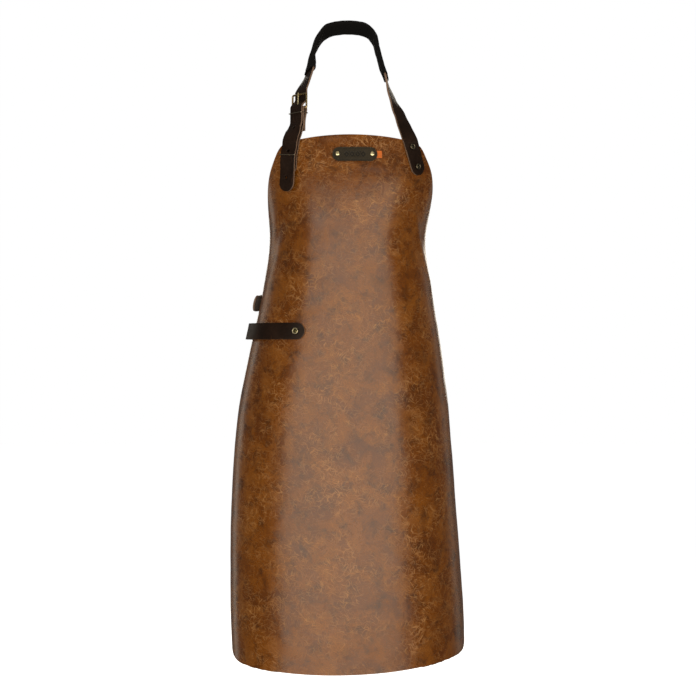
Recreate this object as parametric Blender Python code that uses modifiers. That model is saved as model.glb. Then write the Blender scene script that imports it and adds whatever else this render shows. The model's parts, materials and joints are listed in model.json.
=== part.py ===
"""Leather bib apron in its worn shape, hanging from its neck loop.

Units are metres and +Z is up. The wearer faces -Y, so -X is the left side of the front view.
The origin is the seat of the neck loop: the inner face of the neck pad at its crown.
Leather pieces lie on the wearer's outline, SECTIONS, which is read by two values:
arc, the length round the body from its front line (positive towards +X), and
drop, the depth below the top edge of the bib.
"""
import math

import bmesh
import bpy
import numpy as np
from mathutils import Matrix, Vector

# Gap between two pieces that touch, and the larger one where a curved piece lies on another.
GAP = 0.0003
LAY_GAP = 0.0008

# Bib and skirt, cut from one hide.
PANEL_WIDTH = 0.600
PANEL_LENGTH = 0.808
PANEL_THICKNESS = 0.0022
BIB_ARCH = 0.010
ARCH_FADE = 0.16
PANEL_COLUMNS = 34
HEM_CORNER = 0.115
# How far the worn hem rises towards both sides, and how much more towards the right.
HEM_BOW = 0.013
HEM_SKEW = 0.006
# Half width of the flat cut at each drop, from the bib's corner round the armhole,
# with its last value at the full width.
ARMHOLE = (
    (0.000, 0.101),
    (0.006, 0.112),
    (0.022, 0.124),
    (0.048, 0.139),
    (0.075, 0.149),
    (0.110, 0.158),
    (0.145, 0.173),
    (0.180, 0.205),
    (0.215, 0.256),
    (0.245, 0.292),
    (0.275, 0.300),
)

# The wearer's outline: drop, centre x, half width, half depth, front y, turn in degrees.
SECTIONS = (
    (0.00, 0.004, 0.136, 0.090, -0.098, 0.0),
    (0.07, 0.003, 0.131, 0.092, -0.106, 0.0),
    (0.15, -0.001, 0.1185, 0.097, -0.108, 0.0),
    (0.23, -0.001, 0.128, 0.102, -0.107, 1.0),
    (0.31, -0.003, 0.143, 0.110, -0.107, 2.0),
    (0.40, -0.006, 0.158, 0.117, -0.108, 3.5),
    (0.49, -0.007, 0.167, 0.121, -0.110, 5.0),
    (0.60, -0.005, 0.174, 0.124, -0.113, 7.0),
    (0.72, -0.001, 0.179, 0.126, -0.116, 9.0),
    (0.83, 0.002, 0.179, 0.126, -0.117, 10.0),
)
BIB_TOP = -0.1735
# How far the stiff right wing stands off the wearer at the hem, behind the side, the drop
# where that starts, and the share of the side's arc where it starts.
WING_FLARE = 0.012
FLARE_DROP = 0.30
FLARE_SHARE = 0.86

# Straps.
STRAP_WIDTH = 0.025
STRAP_THICKNESS = 0.0026
STRAP_HOLE = 0.0025
HOLE_PITCH = 0.040

# Neck loop: the free parts of the two legs and the crown, as (place, face direction).
NECK_RIGHT_LEG = (
    ((0.0855, -0.0755, -0.1600), (0.62, -0.78, 0.06)),
    ((0.0780, -0.0675, -0.1400), (0.74, -0.66, 0.12)),
    ((0.0672, -0.0590, -0.1140), (0.90, -0.36, 0.20)),
    ((0.0575, -0.0460, -0.0805), (0.96, 0.00, 0.28)),
)
NECK_CROWN = (
    ((0.0515, -0.0350, -0.0610), (0.96, 0.06, 0.26)),
    ((0.0455, -0.0230, -0.0370), (0.95, 0.10, 0.28)),
    ((0.0405, -0.0110, -0.0165), (0.82, 0.30, 0.49)),
    ((0.0270, -0.0015, -0.0015), (0.42, 0.46, 0.79)),
    ((-0.0030, 0.0018, 0.0030), (0.00, 0.50, 0.866)),
    ((-0.0320, -0.0015, -0.0030), (-0.44, 0.46, 0.77)),
    ((-0.0470, -0.0125, -0.0215), (-0.82, 0.20, 0.50)),
    ((-0.0555, -0.0270, -0.0470), (-0.94, -0.10, 0.30)),
    ((-0.0580, -0.0390, -0.0700), (-0.88, -0.42, 0.24)),
)
# Each leg's foot on the bib: arc and drop where it comes onto the bib and at its end.
NECK_RIGHT_FOOT = ((0.0915, 0.008), (0.1090, 0.059))
NECK_LEFT_FOOT = ((-0.0890, 0.006), (-0.0950, 0.059))
NECK_RIVET_INSET = 0.013
NECK_RIVET_PITCH = 0.031
NECK_HEEL = Vector((-0.0735, -0.0680, -0.1325))
NECK_HEEL_FACE = Vector((-0.72, -0.69, 0.05))
NECK_TAIL_SPARE = 0.026

# Fabric sleeve round the neck strap.
PAD_SIDE_ROOM = 0.0025
PAD_WIDTH = STRAP_WIDTH + 2 * PAD_SIDE_ROOM
PAD_WALL = 0.0012
PAD_ROOM = 0.0012

# Rectangular wire buckle.
BUCKLE_SIDE_ROOM = 0.0015
BUCKLE_OPENING = STRAP_WIDTH + 2 * BUCKLE_SIDE_ROOM
BUCKLE_LENGTH = 0.023
BUCKLE_WIRE = 0.0015
TONGUE_WIRE = 0.0012
TONGUE_PLAY = 0.0013
FLAP_LENGTH = 0.034
KEEPER_WIRE = 0.0006
KEEPER_GAP = 0.0009
KEEPER_STEP = 0.0065

# Rivets.
CAP_RADIUS = 0.0047
CAP_HEIGHT = 0.0020
POST_RADIUS = 0.0013
BASE_SHARE = 0.9
BASE_HEIGHT = 0.0010
CAP_SEAT = 0.0006
BASE_SEAT = 0.0009
LABEL_CAP_RADIUS = 0.0035
RIVET_SIDES = 14

# Label and its side tag.
LABEL_LENGTH = 0.066
LABEL_WIDTH = 0.021
LABEL_THICKNESS = 0.0022
LABEL_ARC = 0.0065
LABEL_DROP = 0.0300
TAG_LENGTH = 0.016
TAG_WIDTH = 0.011
TAG_THICKNESS = 0.0007
TAG_SHOWING = 0.0075

# Towel loop: its two ends along the arc, its drop, and how far its middle stands off.
LOOP_FRONT = -0.0655
LOOP_REAR = -0.258
LOOP_DROP = 0.295
LOOP_BULGE = 0.0078
LOOP_RIVET_INSET = 0.0145

# Waist straps.
WAIST_DROP = 0.2510
WAIST_RIGHT_START = 0.205
WAIST_LEFT_START = -0.222
WAIST_HEEL_ARC = -0.328
WAIST_HEEL_LIFT = 0.0050
WAIST_RIVET_INSET = 0.012
WAIST_RIVET_PITCH = 0.026
WAIST_TAIL_SPARE = 0.030
WAIST_TIP_LIFT = 0.0085

# Cross rows of a strap: the step they are looked for at, and the most they turn.
NECK_SPACING = 0.009
ROW_STEP = 0.0008
ROW_TURN = math.radians(15)

PANEL_FACE = PANEL_THICKNESS * 1.04
STRAP_LIFT = PANEL_FACE + LAY_GAP + STRAP_THICKNESS / 2
FOLD_RADIUS = BUCKLE_WIRE + GAP + STRAP_THICKNESS / 2 + 0.0001
LAYER = STRAP_THICKNESS + GAP + 0.0001
TAIL_RISE = STRAP_THICKNESS + CAP_SEAT + CAP_HEIGHT + GAP


# ---------------------------------------------------------------- scene helpers
def clear_scene():
    for thing in list(bpy.data.objects):
        bpy.data.objects.remove(thing, do_unlink=True)


def new_collection(name):
    group = bpy.data.collections.new(name)
    bpy.context.scene.collection.children.link(group)
    return group


def material(name, colour, roughness, metallic=0.0):
    made = bpy.data.materials.new(name)
    made.use_nodes = True
    shader = made.node_tree.nodes["Principled BSDF"]
    shader.inputs["Base Color"].default_value = (*colour, 1.0)
    shader.inputs["Roughness"].default_value = roughness
    shader.inputs["Metallic"].default_value = metallic
    return made


def add_object(name, data, group, finish=None):
    made = bpy.data.objects.new(name, data)
    group.objects.link(made)
    if finish:
        data.materials.append(finish)
    return made


def placed(point, along, face):
    """Matrix at a point with +Z along face and +Y against the direction along."""
    z = face.normalized()
    y = -(along - z * along.dot(z)).normalized()
    x = y.cross(z)
    turn = Matrix((x, y, z)).transposed().to_4x4()
    return Matrix.Translation(point) @ turn


def smooth_read(table, x):
    """Values of a table's row at x, smooth between rows and level past both ends."""
    keys = [row[0] for row in table]
    rows = [np.array(row[1:], dtype=float) for row in table]
    if x <= keys[0]:
        return rows[0]
    if x >= keys[-1]:
        return rows[-1]
    i = max(k for k in range(len(keys) - 1) if keys[k] <= x)
    span = keys[i + 1] - keys[i]
    u = (x - keys[i]) / span
    slopes = []
    for k in (i, i + 1):
        low, high = max(k - 1, 0), min(k + 1, len(keys) - 1)
        slopes.append((rows[high] - rows[low]) / (keys[high] - keys[low]) * span)
    start = (2 * u**3 - 3 * u**2 + 1) * rows[i] + (u**3 - 2 * u**2 + u) * slopes[0]
    return start + (3 * u**2 - 2 * u**3) * rows[i + 1] + (u**3 - u**2) * slopes[1]


def ease(x):
    x = min(max(x, 0.0), 1.0)
    return x * x * (3 - 2 * x)


# ---------------------------------------------------------------- the wearer's outline
def ellipse_arcs(half_width, half_depth):
    """Angles once round an ellipse from its front, and the arc length to each."""
    angles = np.linspace(0, 2 * np.pi, 361)
    speed = np.hypot(half_width * np.cos(angles), half_depth * np.sin(angles))
    steps = (speed[1:] + speed[:-1]) / 2 * np.diff(angles)
    return angles, np.concatenate(([0.0], np.cumsum(steps)))


def girth(drop):
    half_width, half_depth = smooth_read(SECTIONS, drop)[1:3]
    return ellipse_arcs(half_width, half_depth)[1][-1]


def wing_flare(arc, drop, side_arc):
    """Stand-off of the stiff right wing behind the side, growing towards the hem."""
    start = side_arc * FLARE_SHARE
    reach = (arc - start) / (PANEL_WIDTH / 2 - start)
    depth = (drop - FLARE_DROP) / (PANEL_LENGTH - FLARE_DROP)
    return WING_FLARE * ease(reach) * ease(depth)


def on_body(arc, drop, lift=0.0):
    centre, half_width, half_depth, front, turn = smooth_read(SECTIONS, drop)
    angles, arcs = ellipse_arcs(half_width, half_depth)
    angle = math.copysign(float(np.interp(abs(arc), arcs, angles)), arc)
    normal = Vector((math.sin(angle) / half_width, -math.cos(angle) / half_depth, 0.0))
    point = Vector((half_width * math.sin(angle), -half_depth * math.cos(angle), 0.0))
    side_arc = arcs[90]
    point += normal.normalized() * (lift + wing_flare(arc, drop, side_arc))
    point = Matrix.Rotation(math.radians(turn), 3, "Z") @ point
    return point + Vector((centre, front + half_depth, BIB_TOP - drop))


def body_station(arc, drop, lift):
    """Point off the wearer and the direction that its surface faces."""
    step = 0.002
    point = on_body(arc, drop, lift)
    across = on_body(arc + step, drop, lift) - on_body(arc - step, drop, lift)
    down = on_body(arc, drop + step, lift) - on_body(arc, drop - step, lift)
    return point, down.cross(across).normalized()


# ---------------------------------------------------------------- strap paths
class Path:
    """Smooth centre line through stations of (point, face), read by distance along it."""

    FINE = 14

    def __init__(self, stations):
        points = [Vector(p) for p, face in stations]
        faces = [Vector(face).normalized() for p, face in stations]
        line, normals = [], []
        for i in range(len(points) - 1):
            for step in range(self.FINE):
                u = step / self.FINE
                line.append(self.between(points, i, u))
                normals.append(faces[i].lerp(faces[i + 1], ease(u)))
        line.append(points[-1])
        normals.append(faces[-1])
        self.line = np.array(line)
        self.normals = np.array(normals)
        hops = np.linalg.norm(np.diff(self.line, axis=0), axis=1)
        self.reach = np.concatenate(([0.0], np.cumsum(hops)))
        self.length = float(self.reach[-1])

    @staticmethod
    def between(points, i, u):
        span = (points[i + 1] - points[i]).length
        slopes = []
        for k in (i, i + 1):
            before = points[max(k - 1, 0)]
            after = points[min(k + 1, len(points) - 1)]
            run = (points[k] - before).length + (after - points[k]).length
            slopes.append((after - before) / run * span)
        start = (2 * u**3 - 3 * u**2 + 1) * points[i] + (u**3 - 2 * u**2 + u) * slopes[0]
        return start + (3 * u**2 - 2 * u**3) * points[i + 1] + (u**3 - u**2) * slopes[1]

    def point(self, distance):
        return Vector([np.interp(distance, self.reach, self.line[:, k]) for k in range(3)])

    def frame(self, distance):
        """Point, direction along, and face direction square to it."""
        step = 0.0008
        low, high = max(distance - step, 0.0), min(distance + step, self.length)
        along = (self.point(high) - self.point(low)).normalized()
        face = Vector([np.interp(distance, self.reach, self.normals[:, k]) for k in range(3)])
        face = (face - along * face.dot(along)).normalized()
        return self.point(distance), along, face

    def nearest(self, place):
        """Distance along the path to its point closest to a place."""
        gaps = np.linalg.norm(self.line - np.array(place), axis=1)
        return float(self.reach[int(np.argmin(gaps))])


def end_profile(distance, length, half, round_start, round_end):
    """Half width of a strap with semicircular ends."""
    room = min(distance if round_start else half, length - distance if round_end else half)
    if room >= half:
        return half
    return half * math.sqrt(max(1 - (1 - room / half) ** 2, 0.0))


def strap_rows(path, half, round_start, round_end, spacing):
    """Distances of the cross rows, closer where the path bends or an end is rounded."""
    bends = [half * (1 - math.cos(math.radians(a))) for a in (16, 32, 50, 70)]
    start = half if round_start else 0.0
    end = path.length - half if round_end else path.length
    rows = [start]
    distance, heading = start, path.frame(start)[1]
    while distance < end - ROW_STEP:
        distance += ROW_STEP
        along = path.frame(distance)[1]
        if distance - rows[-1] >= spacing or along.angle(heading) > ROW_TURN:
            rows.append(distance)
            heading = along
    if end - rows[-1] > ROW_STEP:
        rows.append(end)
    else:
        rows[-1] = end
    if round_start:
        rows = bends + rows
    if round_end:
        rows = rows + [path.length - bend for bend in reversed(bends)]
    return rows


def grid_object(name, rows, thickness, group, finish):
    """Solid of an even thickness about a grid of points."""
    mesh = bmesh.new()
    grid = [[mesh.verts.new(p) for p in row] for row in rows]
    for upper, lower in zip(grid, grid[1:]):
        for k in range(len(upper) - 1):
            mesh.faces.new((upper[k], lower[k], lower[k + 1], upper[k + 1]))
    data = bpy.data.meshes.new(name)
    mesh.to_mesh(data)
    mesh.free()
    made = add_object(name, data, group, finish)
    shell = made.modifiers.new("thickness", "SOLIDIFY")
    shell.thickness = thickness
    shell.offset = 0.0
    shell.use_even_offset = True
    return made


def strap(name, path, group, finish, width=STRAP_WIDTH, thickness=STRAP_THICKNESS,
          round_start=True, round_end=True, spacing=0.011, columns=2, sway=None):
    """Flat strap along a path. sway shifts it sideways by a function of the distance."""
    half = width / 2
    rows = []
    for distance in strap_rows(path, half, round_start, round_end, spacing):
        point, along, face = path.frame(distance)
        across = along.cross(face)
        reach = end_profile(distance, path.length, half, round_start, round_end)
        shift = sway(distance) if sway else 0.0
        steps = [shift + reach * (2 * k / columns - 1) for k in range(columns + 1)]
        rows.append([point + across * step for step in steps])
    return grid_object(name, rows, thickness, group, finish)


def cut(target, cutters):
    for cutter in cutters:
        hole = target.modifiers.new("hole", "BOOLEAN")
        hole.operation = "DIFFERENCE"
        hole.solver = "EXACT"
        hole.object = cutter


# ---------------------------------------------------------------- turned and wire pieces
def hole_cutter(name, place, radius, front, back, group):
    """Round cutter along a place's Z axis, from front above it to back below it."""
    mesh = bmesh.new()
    bmesh.ops.create_cone(
        mesh, cap_ends=True, segments=14, radius1=radius, radius2=radius, depth=front + back
    )
    bmesh.ops.translate(mesh, verts=mesh.verts, vec=(0, 0, (front - back) / 2))
    return finish_cutter(name, mesh, place, group)


def finish_cutter(name, mesh, place, group):
    data = bpy.data.meshes.new(name)
    mesh.to_mesh(data)
    mesh.free()
    made = add_object(name, data, group)
    made.matrix_world = place
    made.hide_render = True
    made.display_type = "WIRE"
    return made


def rivet(name, place, grip, group, finish, cap_radius=CAP_RADIUS):
    """One-piece set rivet: a domed cap, a post through the leather and a flat base."""
    back = -(grip + BASE_SEAT)
    base_radius = cap_radius * BASE_SHARE
    profile = (
        (0.0, CAP_SEAT + CAP_HEIGHT),
        (cap_radius * 0.45, CAP_SEAT + CAP_HEIGHT * 0.90),
        (cap_radius * 0.82, CAP_SEAT + CAP_HEIGHT * 0.58),
        (cap_radius, CAP_SEAT + CAP_HEIGHT * 0.22),
        (cap_radius * 0.97, CAP_SEAT),
        (POST_RADIUS, CAP_SEAT),
        (POST_RADIUS, back),
        (base_radius, back),
        (base_radius, back - BASE_HEIGHT),
        (0.0, back - BASE_HEIGHT),
    )
    data = bpy.data.meshes.new(name)
    points = [(x, 0.0, z) for x, z in profile]
    data.from_pydata(points, [(k, k + 1) for k in range(len(points) - 1)], [])
    made = add_object(name, data, group, finish)
    made.matrix_world = place
    turn = made.modifiers.new("turn", "SCREW")
    turn.steps = RIVET_SIDES
    turn.render_steps = RIVET_SIDES
    turn.use_merge_vertices = True
    turn.merge_threshold = 0.00005
    return made


def wire(name, points, radius, place, group, finish, closed=False):
    """Round wire through points given in a place's own axes."""
    data = bpy.data.curves.new(name, "CURVE")
    data.dimensions = "3D"
    data.bevel_depth = radius
    data.bevel_resolution = 2
    data.use_fill_caps = not closed
    data.render_resolution_u = 0
    line = data.splines.new("POLY")
    line.points.add(len(points) - 1)
    for slot, point in zip(line.points, points):
        slot.co = (*point, 1.0)
    line.use_cyclic_u = closed
    made = add_object(name, data, group, finish)
    made.matrix_world = place
    return made


def rounded_loop(half_x, low_y, high_y, corner, steps=4):
    """Closed rounded rectangle in the XY plane."""
    points = []
    corners = (
        (half_x - corner, high_y - corner, 0),
        (-half_x + corner, high_y - corner, 90),
        (-half_x + corner, low_y + corner, 180),
        (half_x - corner, low_y + corner, 270),
    )
    for x, y, start in corners:
        for k in range(steps + 1):
            angle = math.radians(start + 90 * k / steps)
            points.append((x + corner * math.cos(angle), y + corner * math.sin(angle), 0.0))
    return points


# ---------------------------------------------------------------- buckle
# A buckle's own axes: the heel bar is at the origin along X, the far bar lies at
# +Y, and +Z faces away from the wearer.
def local_station(place, y, z, face):
    return place @ Vector((0, y, z)), place.to_3x3() @ Vector(face)


def fold_stations(place):
    """Short strap's flap and its fold round the heel bar, from the flap's end."""
    behind = FOLD_RADIUS - LAYER
    flap = (
        (-FLAP_LENGTH, behind),
        (-FLAP_LENGTH * 0.75, behind),
        (-FLAP_LENGTH * 0.50, behind - 0.0005),
        (-FLAP_LENGTH * 0.25, -FOLD_RADIUS * 0.62),
        (-FOLD_RADIUS * 0.6, -FOLD_RADIUS),
    )
    stations = [local_station(place, y, z, (0, 0, -1)) for y, z in flap]
    for angle in range(-90, 91, 22):
        bend = math.radians(angle)
        radial = (0, math.cos(bend), math.sin(bend))
        spot = (FOLD_RADIUS * radial[1], FOLD_RADIUS * radial[2])
        stations.append(local_station(place, *spot, radial))
    return stations


def threaded_height(y):
    """Long strap's height as it comes from behind the far bar over the heel bar."""
    low = -(BUCKLE_WIRE + GAP + STRAP_THICKNESS / 2 + 0.0003)
    high = FOLD_RADIUS + LAYER + 0.0002
    crossing = BUCKLE_LENGTH - 4.5 * BUCKLE_WIRE
    return low + (high - low) * ease((crossing - y) / (crossing - 0.002))


def threaded_stations(place):
    """Long strap through the buckle, from beyond the far bar to past the heel bar."""
    steps = 11
    start = BUCKLE_LENGTH + 0.006
    spots = [start - (start + 0.006) * k / steps for k in range(steps + 1)]
    return [local_station(place, y, threaded_height(y), (0, 0, 1)) for y in spots]


def buckle_metal(prefix, place, group, finish):
    """Frame round the heel bar and a tongue hooked on it. Both turn about the heel bar."""
    half = BUCKLE_OPENING / 2 + BUCKLE_WIRE
    wire(
        prefix + "_buckle_frame",
        rounded_loop(half, 0.0, BUCKLE_LENGTH, 0.003),
        BUCKLE_WIRE, place, group, finish, closed=True,
    )
    hook = BUCKLE_WIRE + GAP + TONGUE_WIRE + 0.0001
    points = []
    for angle in range(-150, 91, 20):
        bend = math.radians(angle)
        points.append((0.0, -hook * math.cos(bend), hook * math.sin(bend)))
    rest = BUCKLE_WIRE + GAP + TONGUE_WIRE
    for y in (0.25, 0.55, 0.85, 1.12):
        points.append((0.0, BUCKLE_LENGTH * y, hook + (rest - hook) * y))
    wire(prefix + "_buckle_tongue", points, TONGUE_WIRE, place, group, finish)


def tongue_cutters(prefix, place, group):
    """Slot for the tongue's hook in the fold, and its hole through the long strap."""
    hook = BUCKLE_WIRE + 2 * GAP + 2 * TONGUE_WIRE
    mesh = bmesh.new()
    bmesh.ops.create_cube(mesh, size=1.0)
    deep = FOLD_RADIUS + STRAP_THICKNESS
    top = FOLD_RADIUS + STRAP_THICKNESS / 2 + 0.0004
    size = (2 * TONGUE_WIRE + 2 * TONGUE_PLAY, 2 * hook + 0.002, deep + top)
    bmesh.ops.scale(mesh, verts=mesh.verts, vec=size)
    bmesh.ops.translate(mesh, verts=mesh.verts, vec=(0, 0.0015, (top - deep) / 2))
    slot = finish_cutter(prefix + "_slot_cutter", mesh, place, group)
    lean = Matrix.Translation((0, BUCKLE_LENGTH / 2, hook - TONGUE_WIRE))
    bore_place = place @ lean @ Matrix.Rotation(math.radians(90), 4, "X")
    reach = BUCKLE_LENGTH * 0.46
    bore = hole_cutter(
        prefix + "_bore_cutter", bore_place, TONGUE_WIRE + TONGUE_PLAY, reach, reach, group
    )
    return slot, bore


def keeper(name, path, distance, low, high, group, finish, tilt=0.0):
    """Thin wire loop round the stacked straps, square to the path at a distance."""
    point, along, face = path.frame(distance)
    place = placed(point, along, face)
    upright = Matrix.Rotation(math.radians(90), 4, "X") @ Matrix.Rotation(tilt, 4, "Y")
    half = STRAP_WIDTH / 2 + KEEPER_GAP + KEEPER_WIRE
    loop = rounded_loop(
        half, low - KEEPER_GAP - KEEPER_WIRE, high + KEEPER_GAP + KEEPER_WIRE, 0.0016, steps=3
    )
    return wire(name, loop, KEEPER_WIRE, place @ upright, group, finish, closed=True)


# ---------------------------------------------------------------- leather
def panel_half_width(drop):
    half = float(smooth_read(ARMHOLE, drop)[0]) * PANEL_WIDTH / (2 * ARMHOLE[-1][1])
    into_corner = drop - (PANEL_LENGTH - HEM_CORNER)
    if into_corner > 0:
        half -= HEM_CORNER - math.sqrt(max(HEM_CORNER**2 - into_corner**2, 0.0))
    return half


def panel_rows():
    """Drops of the panel's cross rows: close at the armhole and round the hem corners."""
    corner_start = PANEL_LENGTH - HEM_CORNER
    armhole_end = ARMHOLE[-1][0]
    rows = spaced(0.0, armhole_end, 0.020)
    rows += spaced(armhole_end, corner_start, 0.055)[1:]
    corner = [math.sin(math.radians(a)) * HEM_CORNER for a in (18, 36, 54, 70, 90)]
    return rows + [corner_start + step for step in corner]


def make_panel(group, finish):
    columns = PANEL_COLUMNS
    rows = []
    for drop in panel_rows():
        half = panel_half_width(drop)
        row = []
        for k in range(columns + 1):
            share = 2 * k / columns - 1
            arch = BIB_ARCH * share**2 * (1 - ease(drop / ARCH_FADE))
            sag = ease(drop / PANEL_LENGTH) * (HEM_BOW * share**2 + HEM_SKEW * share)
            row.append(on_body(half * share, drop + arch - sag, PANEL_THICKNESS / 2))
        rows.append(row)
    return grid_object("apron_panel", rows, PANEL_THICKNESS, group, finish)


def rivet_place(path, distance, depth):
    """Place on the outer face of a strap, at a distance along its path."""
    point, along, face = path.frame(distance)
    return placed(point + face * depth / 2, along, face)


def rivets_through(names, path, distances, grip, sets, layers, cap_radius=CAP_RADIUS,
                   depth=STRAP_THICKNESS, stand_off=None):
    """Rivets at distances along a path, with their holes cut in every layer."""
    parts, cutters, brass = sets
    for name, distance in zip(names, distances):
        place = rivet_place(path, distance, depth)
        if stand_off:
            grip_here = grip + stand_off(BIB_TOP - place.translation.z)
        else:
            grip_here = grip
        rivet(name, place, grip_here, parts, brass, cap_radius)
        drill = hole_cutter(
            name + "_cutter", place, POST_RADIUS + GAP, 0.002, grip_here + 0.004, cutters
        )
        for layer in layers:
            cut(layer, [drill])


def waist_lift(arc):
    """Short waist strap's lift: flat on the wing, rising to the buckle's fold."""
    start, end = WAIST_LEFT_START - 0.045, WAIST_HEEL_ARC
    return STRAP_LIFT + (WAIST_HEEL_LIFT + FOLD_RADIUS - STRAP_LIFT) * ease(
        (arc - start) / (end - start)
    )


def spaced(start, end, step):
    count = max(1, round(abs(end - start) / step))
    return [start + (end - start) * k / count for k in range(count + 1)]


def neck_buckle_axes():
    """The neck buckle's axes: its far bar points away from the strap's foot on the bib."""
    foot, face = foot_stations(NECK_LEFT_FOOT, keeper_bulge)[0]
    return placed(NECK_HEEL, foot - face * FOLD_RADIUS - NECK_HEEL, NECK_HEEL_FACE)


def waist_buckle_axes():
    heel, face = body_station(WAIST_HEEL_ARC, WAIST_DROP, WAIST_HEEL_LIFT)
    ahead = body_station(WAIST_HEEL_ARC + 0.02, WAIST_DROP, WAIST_HEEL_LIFT)[0]
    return placed(heel, ahead - heel, face)


def keeper_bulge(drop):
    """Extra lift where the short neck strap passes over the lower keeper."""
    middle = NECK_LEFT_FOOT[1][1] - NECK_RIVET_INSET - NECK_RIVET_PITCH / 2
    return (2 * KEEPER_WIRE + KEEPER_GAP) * math.exp(-(((drop - middle) / 0.010) ** 2))


def foot_stations(foot, bulge=None):
    """Stations of a strap's foot on the bib, from where it comes onto it to its end."""
    (first_arc, first_drop), (last_arc, last_drop) = foot
    stations = []
    for share in spaced(0.0, 1.0, 0.125):
        drop = first_drop + (last_drop - first_drop) * share
        arc = first_arc + (last_arc - first_arc) * share
        lift = STRAP_LIFT + (bulge(drop) if bulge else 0.0)
        stations.append(body_station(arc, drop, lift))
    return stations


def make_neck(sets, panel, leather, pad_cloth):
    parts, cutters, brass = sets
    feet = foot_stations(NECK_LEFT_FOOT, keeper_bulge)
    place = neck_buckle_axes()
    descent = [
        local_station(place, -0.010, FOLD_RADIUS, (0, 0, 1)),
        local_station(place, -0.026, FOLD_RADIUS - 0.0004, (0, 0, 1)),
    ]
    short_path = Path(fold_stations(place) + descent + feet)
    short = strap(
        "neck_buckle_strap", short_path, parts, leather, round_start=False, spacing=0.008
    )
    heel = short_path.nearest(place @ Vector((0, 0, FOLD_RADIUS)))
    long_before = [*reversed(foot_stations(NECK_RIGHT_FOOT)), *NECK_RIGHT_LEG, *NECK_CROWN]
    long_path = Path(long_before + threaded_stations(place) + tail_stations(short_path, heel))
    long = strap(
        "neck_strap", long_path, parts, leather, spacing=NECK_SPACING,
        sway=lambda d: 0.002 * ease((d - long_path.length + 0.046) / 0.03),
    )
    buckle_metal("neck", place, parts, brass)
    slot, bore = tongue_cutters("neck", place, cutters)
    cut(short, [slot])
    cut(long, [bore])
    strap_holes("neck", long_path, place, long, cutters)
    grip = STRAP_LIFT + STRAP_THICKNESS / 2 + LAY_GAP
    rivets_through(
        ("neck_rivet_right_lower", "neck_rivet_right_upper"), long_path,
        (NECK_RIVET_INSET, NECK_RIVET_INSET + NECK_RIVET_PITCH), grip, sets, (long, panel),
    )
    rivets_through(
        ("neck_rivet_left_lower", "neck_rivet_left_upper"), short_path,
        (short_path.length - NECK_RIVET_INSET,
         short_path.length - NECK_RIVET_INSET - NECK_RIVET_PITCH), grip, sets, (short, panel),
        stand_off=keeper_bulge,
    )
    make_pad(long_path, parts, pad_cloth)
    top = LAYER + 0.0002 + STRAP_THICKNESS / 2
    keeper(
        "neck_keeper_upper", short_path, heel + KEEPER_STEP,
        -2 * FOLD_RADIUS - STRAP_THICKNESS / 2 + 0.001, top + 0.0004, parts, brass,
    )
    middle = short_path.length - NECK_RIVET_INSET - NECK_RIVET_PITCH / 2
    keeper(
        "neck_keeper_lower", short_path, middle,
        -STRAP_THICKNESS / 2, TAIL_RISE + STRAP_THICKNESS / 2, parts, brass,
    )


def tail_stations(short_path, heel):
    """Long strap's free end, over the short strap and past its foot."""
    stations = []
    for distance in spaced(heel + 0.012, short_path.length, 0.010):
        point, along, face = short_path.frame(distance)
        rise = LAYER + 0.0002 + (TAIL_RISE - LAYER) * ease((distance - heel - 0.012) / 0.02)
        stations.append((point + face * rise, face))
    tip = point + along * NECK_TAIL_SPARE + face * (TAIL_RISE - 0.0005)
    stations.append((tip, face))
    return stations


def strap_holes(prefix, path, place, target, cutters):
    """Round adjusting holes in a long strap, on both sides of the tongue's hole."""
    at_tongue = path.nearest(place @ Vector((0, BUCKLE_LENGTH * 0.37, 0.003)))
    spots = [at_tongue + HOLE_PITCH * k for k in (-1, 1, 2, 3)]
    for k, distance in enumerate(spots):
        if distance > path.length - STRAP_WIDTH * 0.35:
            continue
        point, along, face = path.frame(distance)
        drill = hole_cutter(
            f"{prefix}_adjusting_cutter_{k}", placed(point, along, face), STRAP_HOLE,
            0.0022, 0.0022, cutters,
        )
        cut(target, [drill])


def make_pad(path, group, finish):
    """Soft sleeve round the neck strap: a flattened tube, open at both ends."""
    start = path.nearest(Vector(NECK_RIGHT_LEG[-1][0]))
    end = path.nearest(Vector(NECK_CROWN[-1][0]))
    half_wide = PAD_WIDTH / 2 - PAD_WALL / 2
    half_deep = STRAP_THICKNESS / 2 + PAD_WALL / 2 + PAD_ROOM
    rows = []
    inner = [d for d in strap_rows(path, STRAP_WIDTH / 2, True, True, NECK_SPACING)
             if start + ROW_STEP < d < end - ROW_STEP]
    for distance in [start, *inner, end]:
        point, along, face = path.frame(distance)
        across = along.cross(face)
        row = []
        for k in range(13):
            turn = 2 * math.pi * k / 12
            wide = math.copysign(abs(math.cos(turn)) ** 0.55, math.cos(turn))
            deep = math.copysign(abs(math.sin(turn)) ** 0.55, math.sin(turn))
            row.append(point + across * half_wide * wide + face * half_deep * deep)
        rows.append(row)
    made = grid_object("neck_pad", rows, PAD_WALL, group, finish)
    mesh = bmesh.new()
    mesh.from_mesh(made.data)
    bmesh.ops.remove_doubles(mesh, verts=mesh.verts, dist=0.00002)
    mesh.to_mesh(made.data)
    mesh.free()


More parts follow.
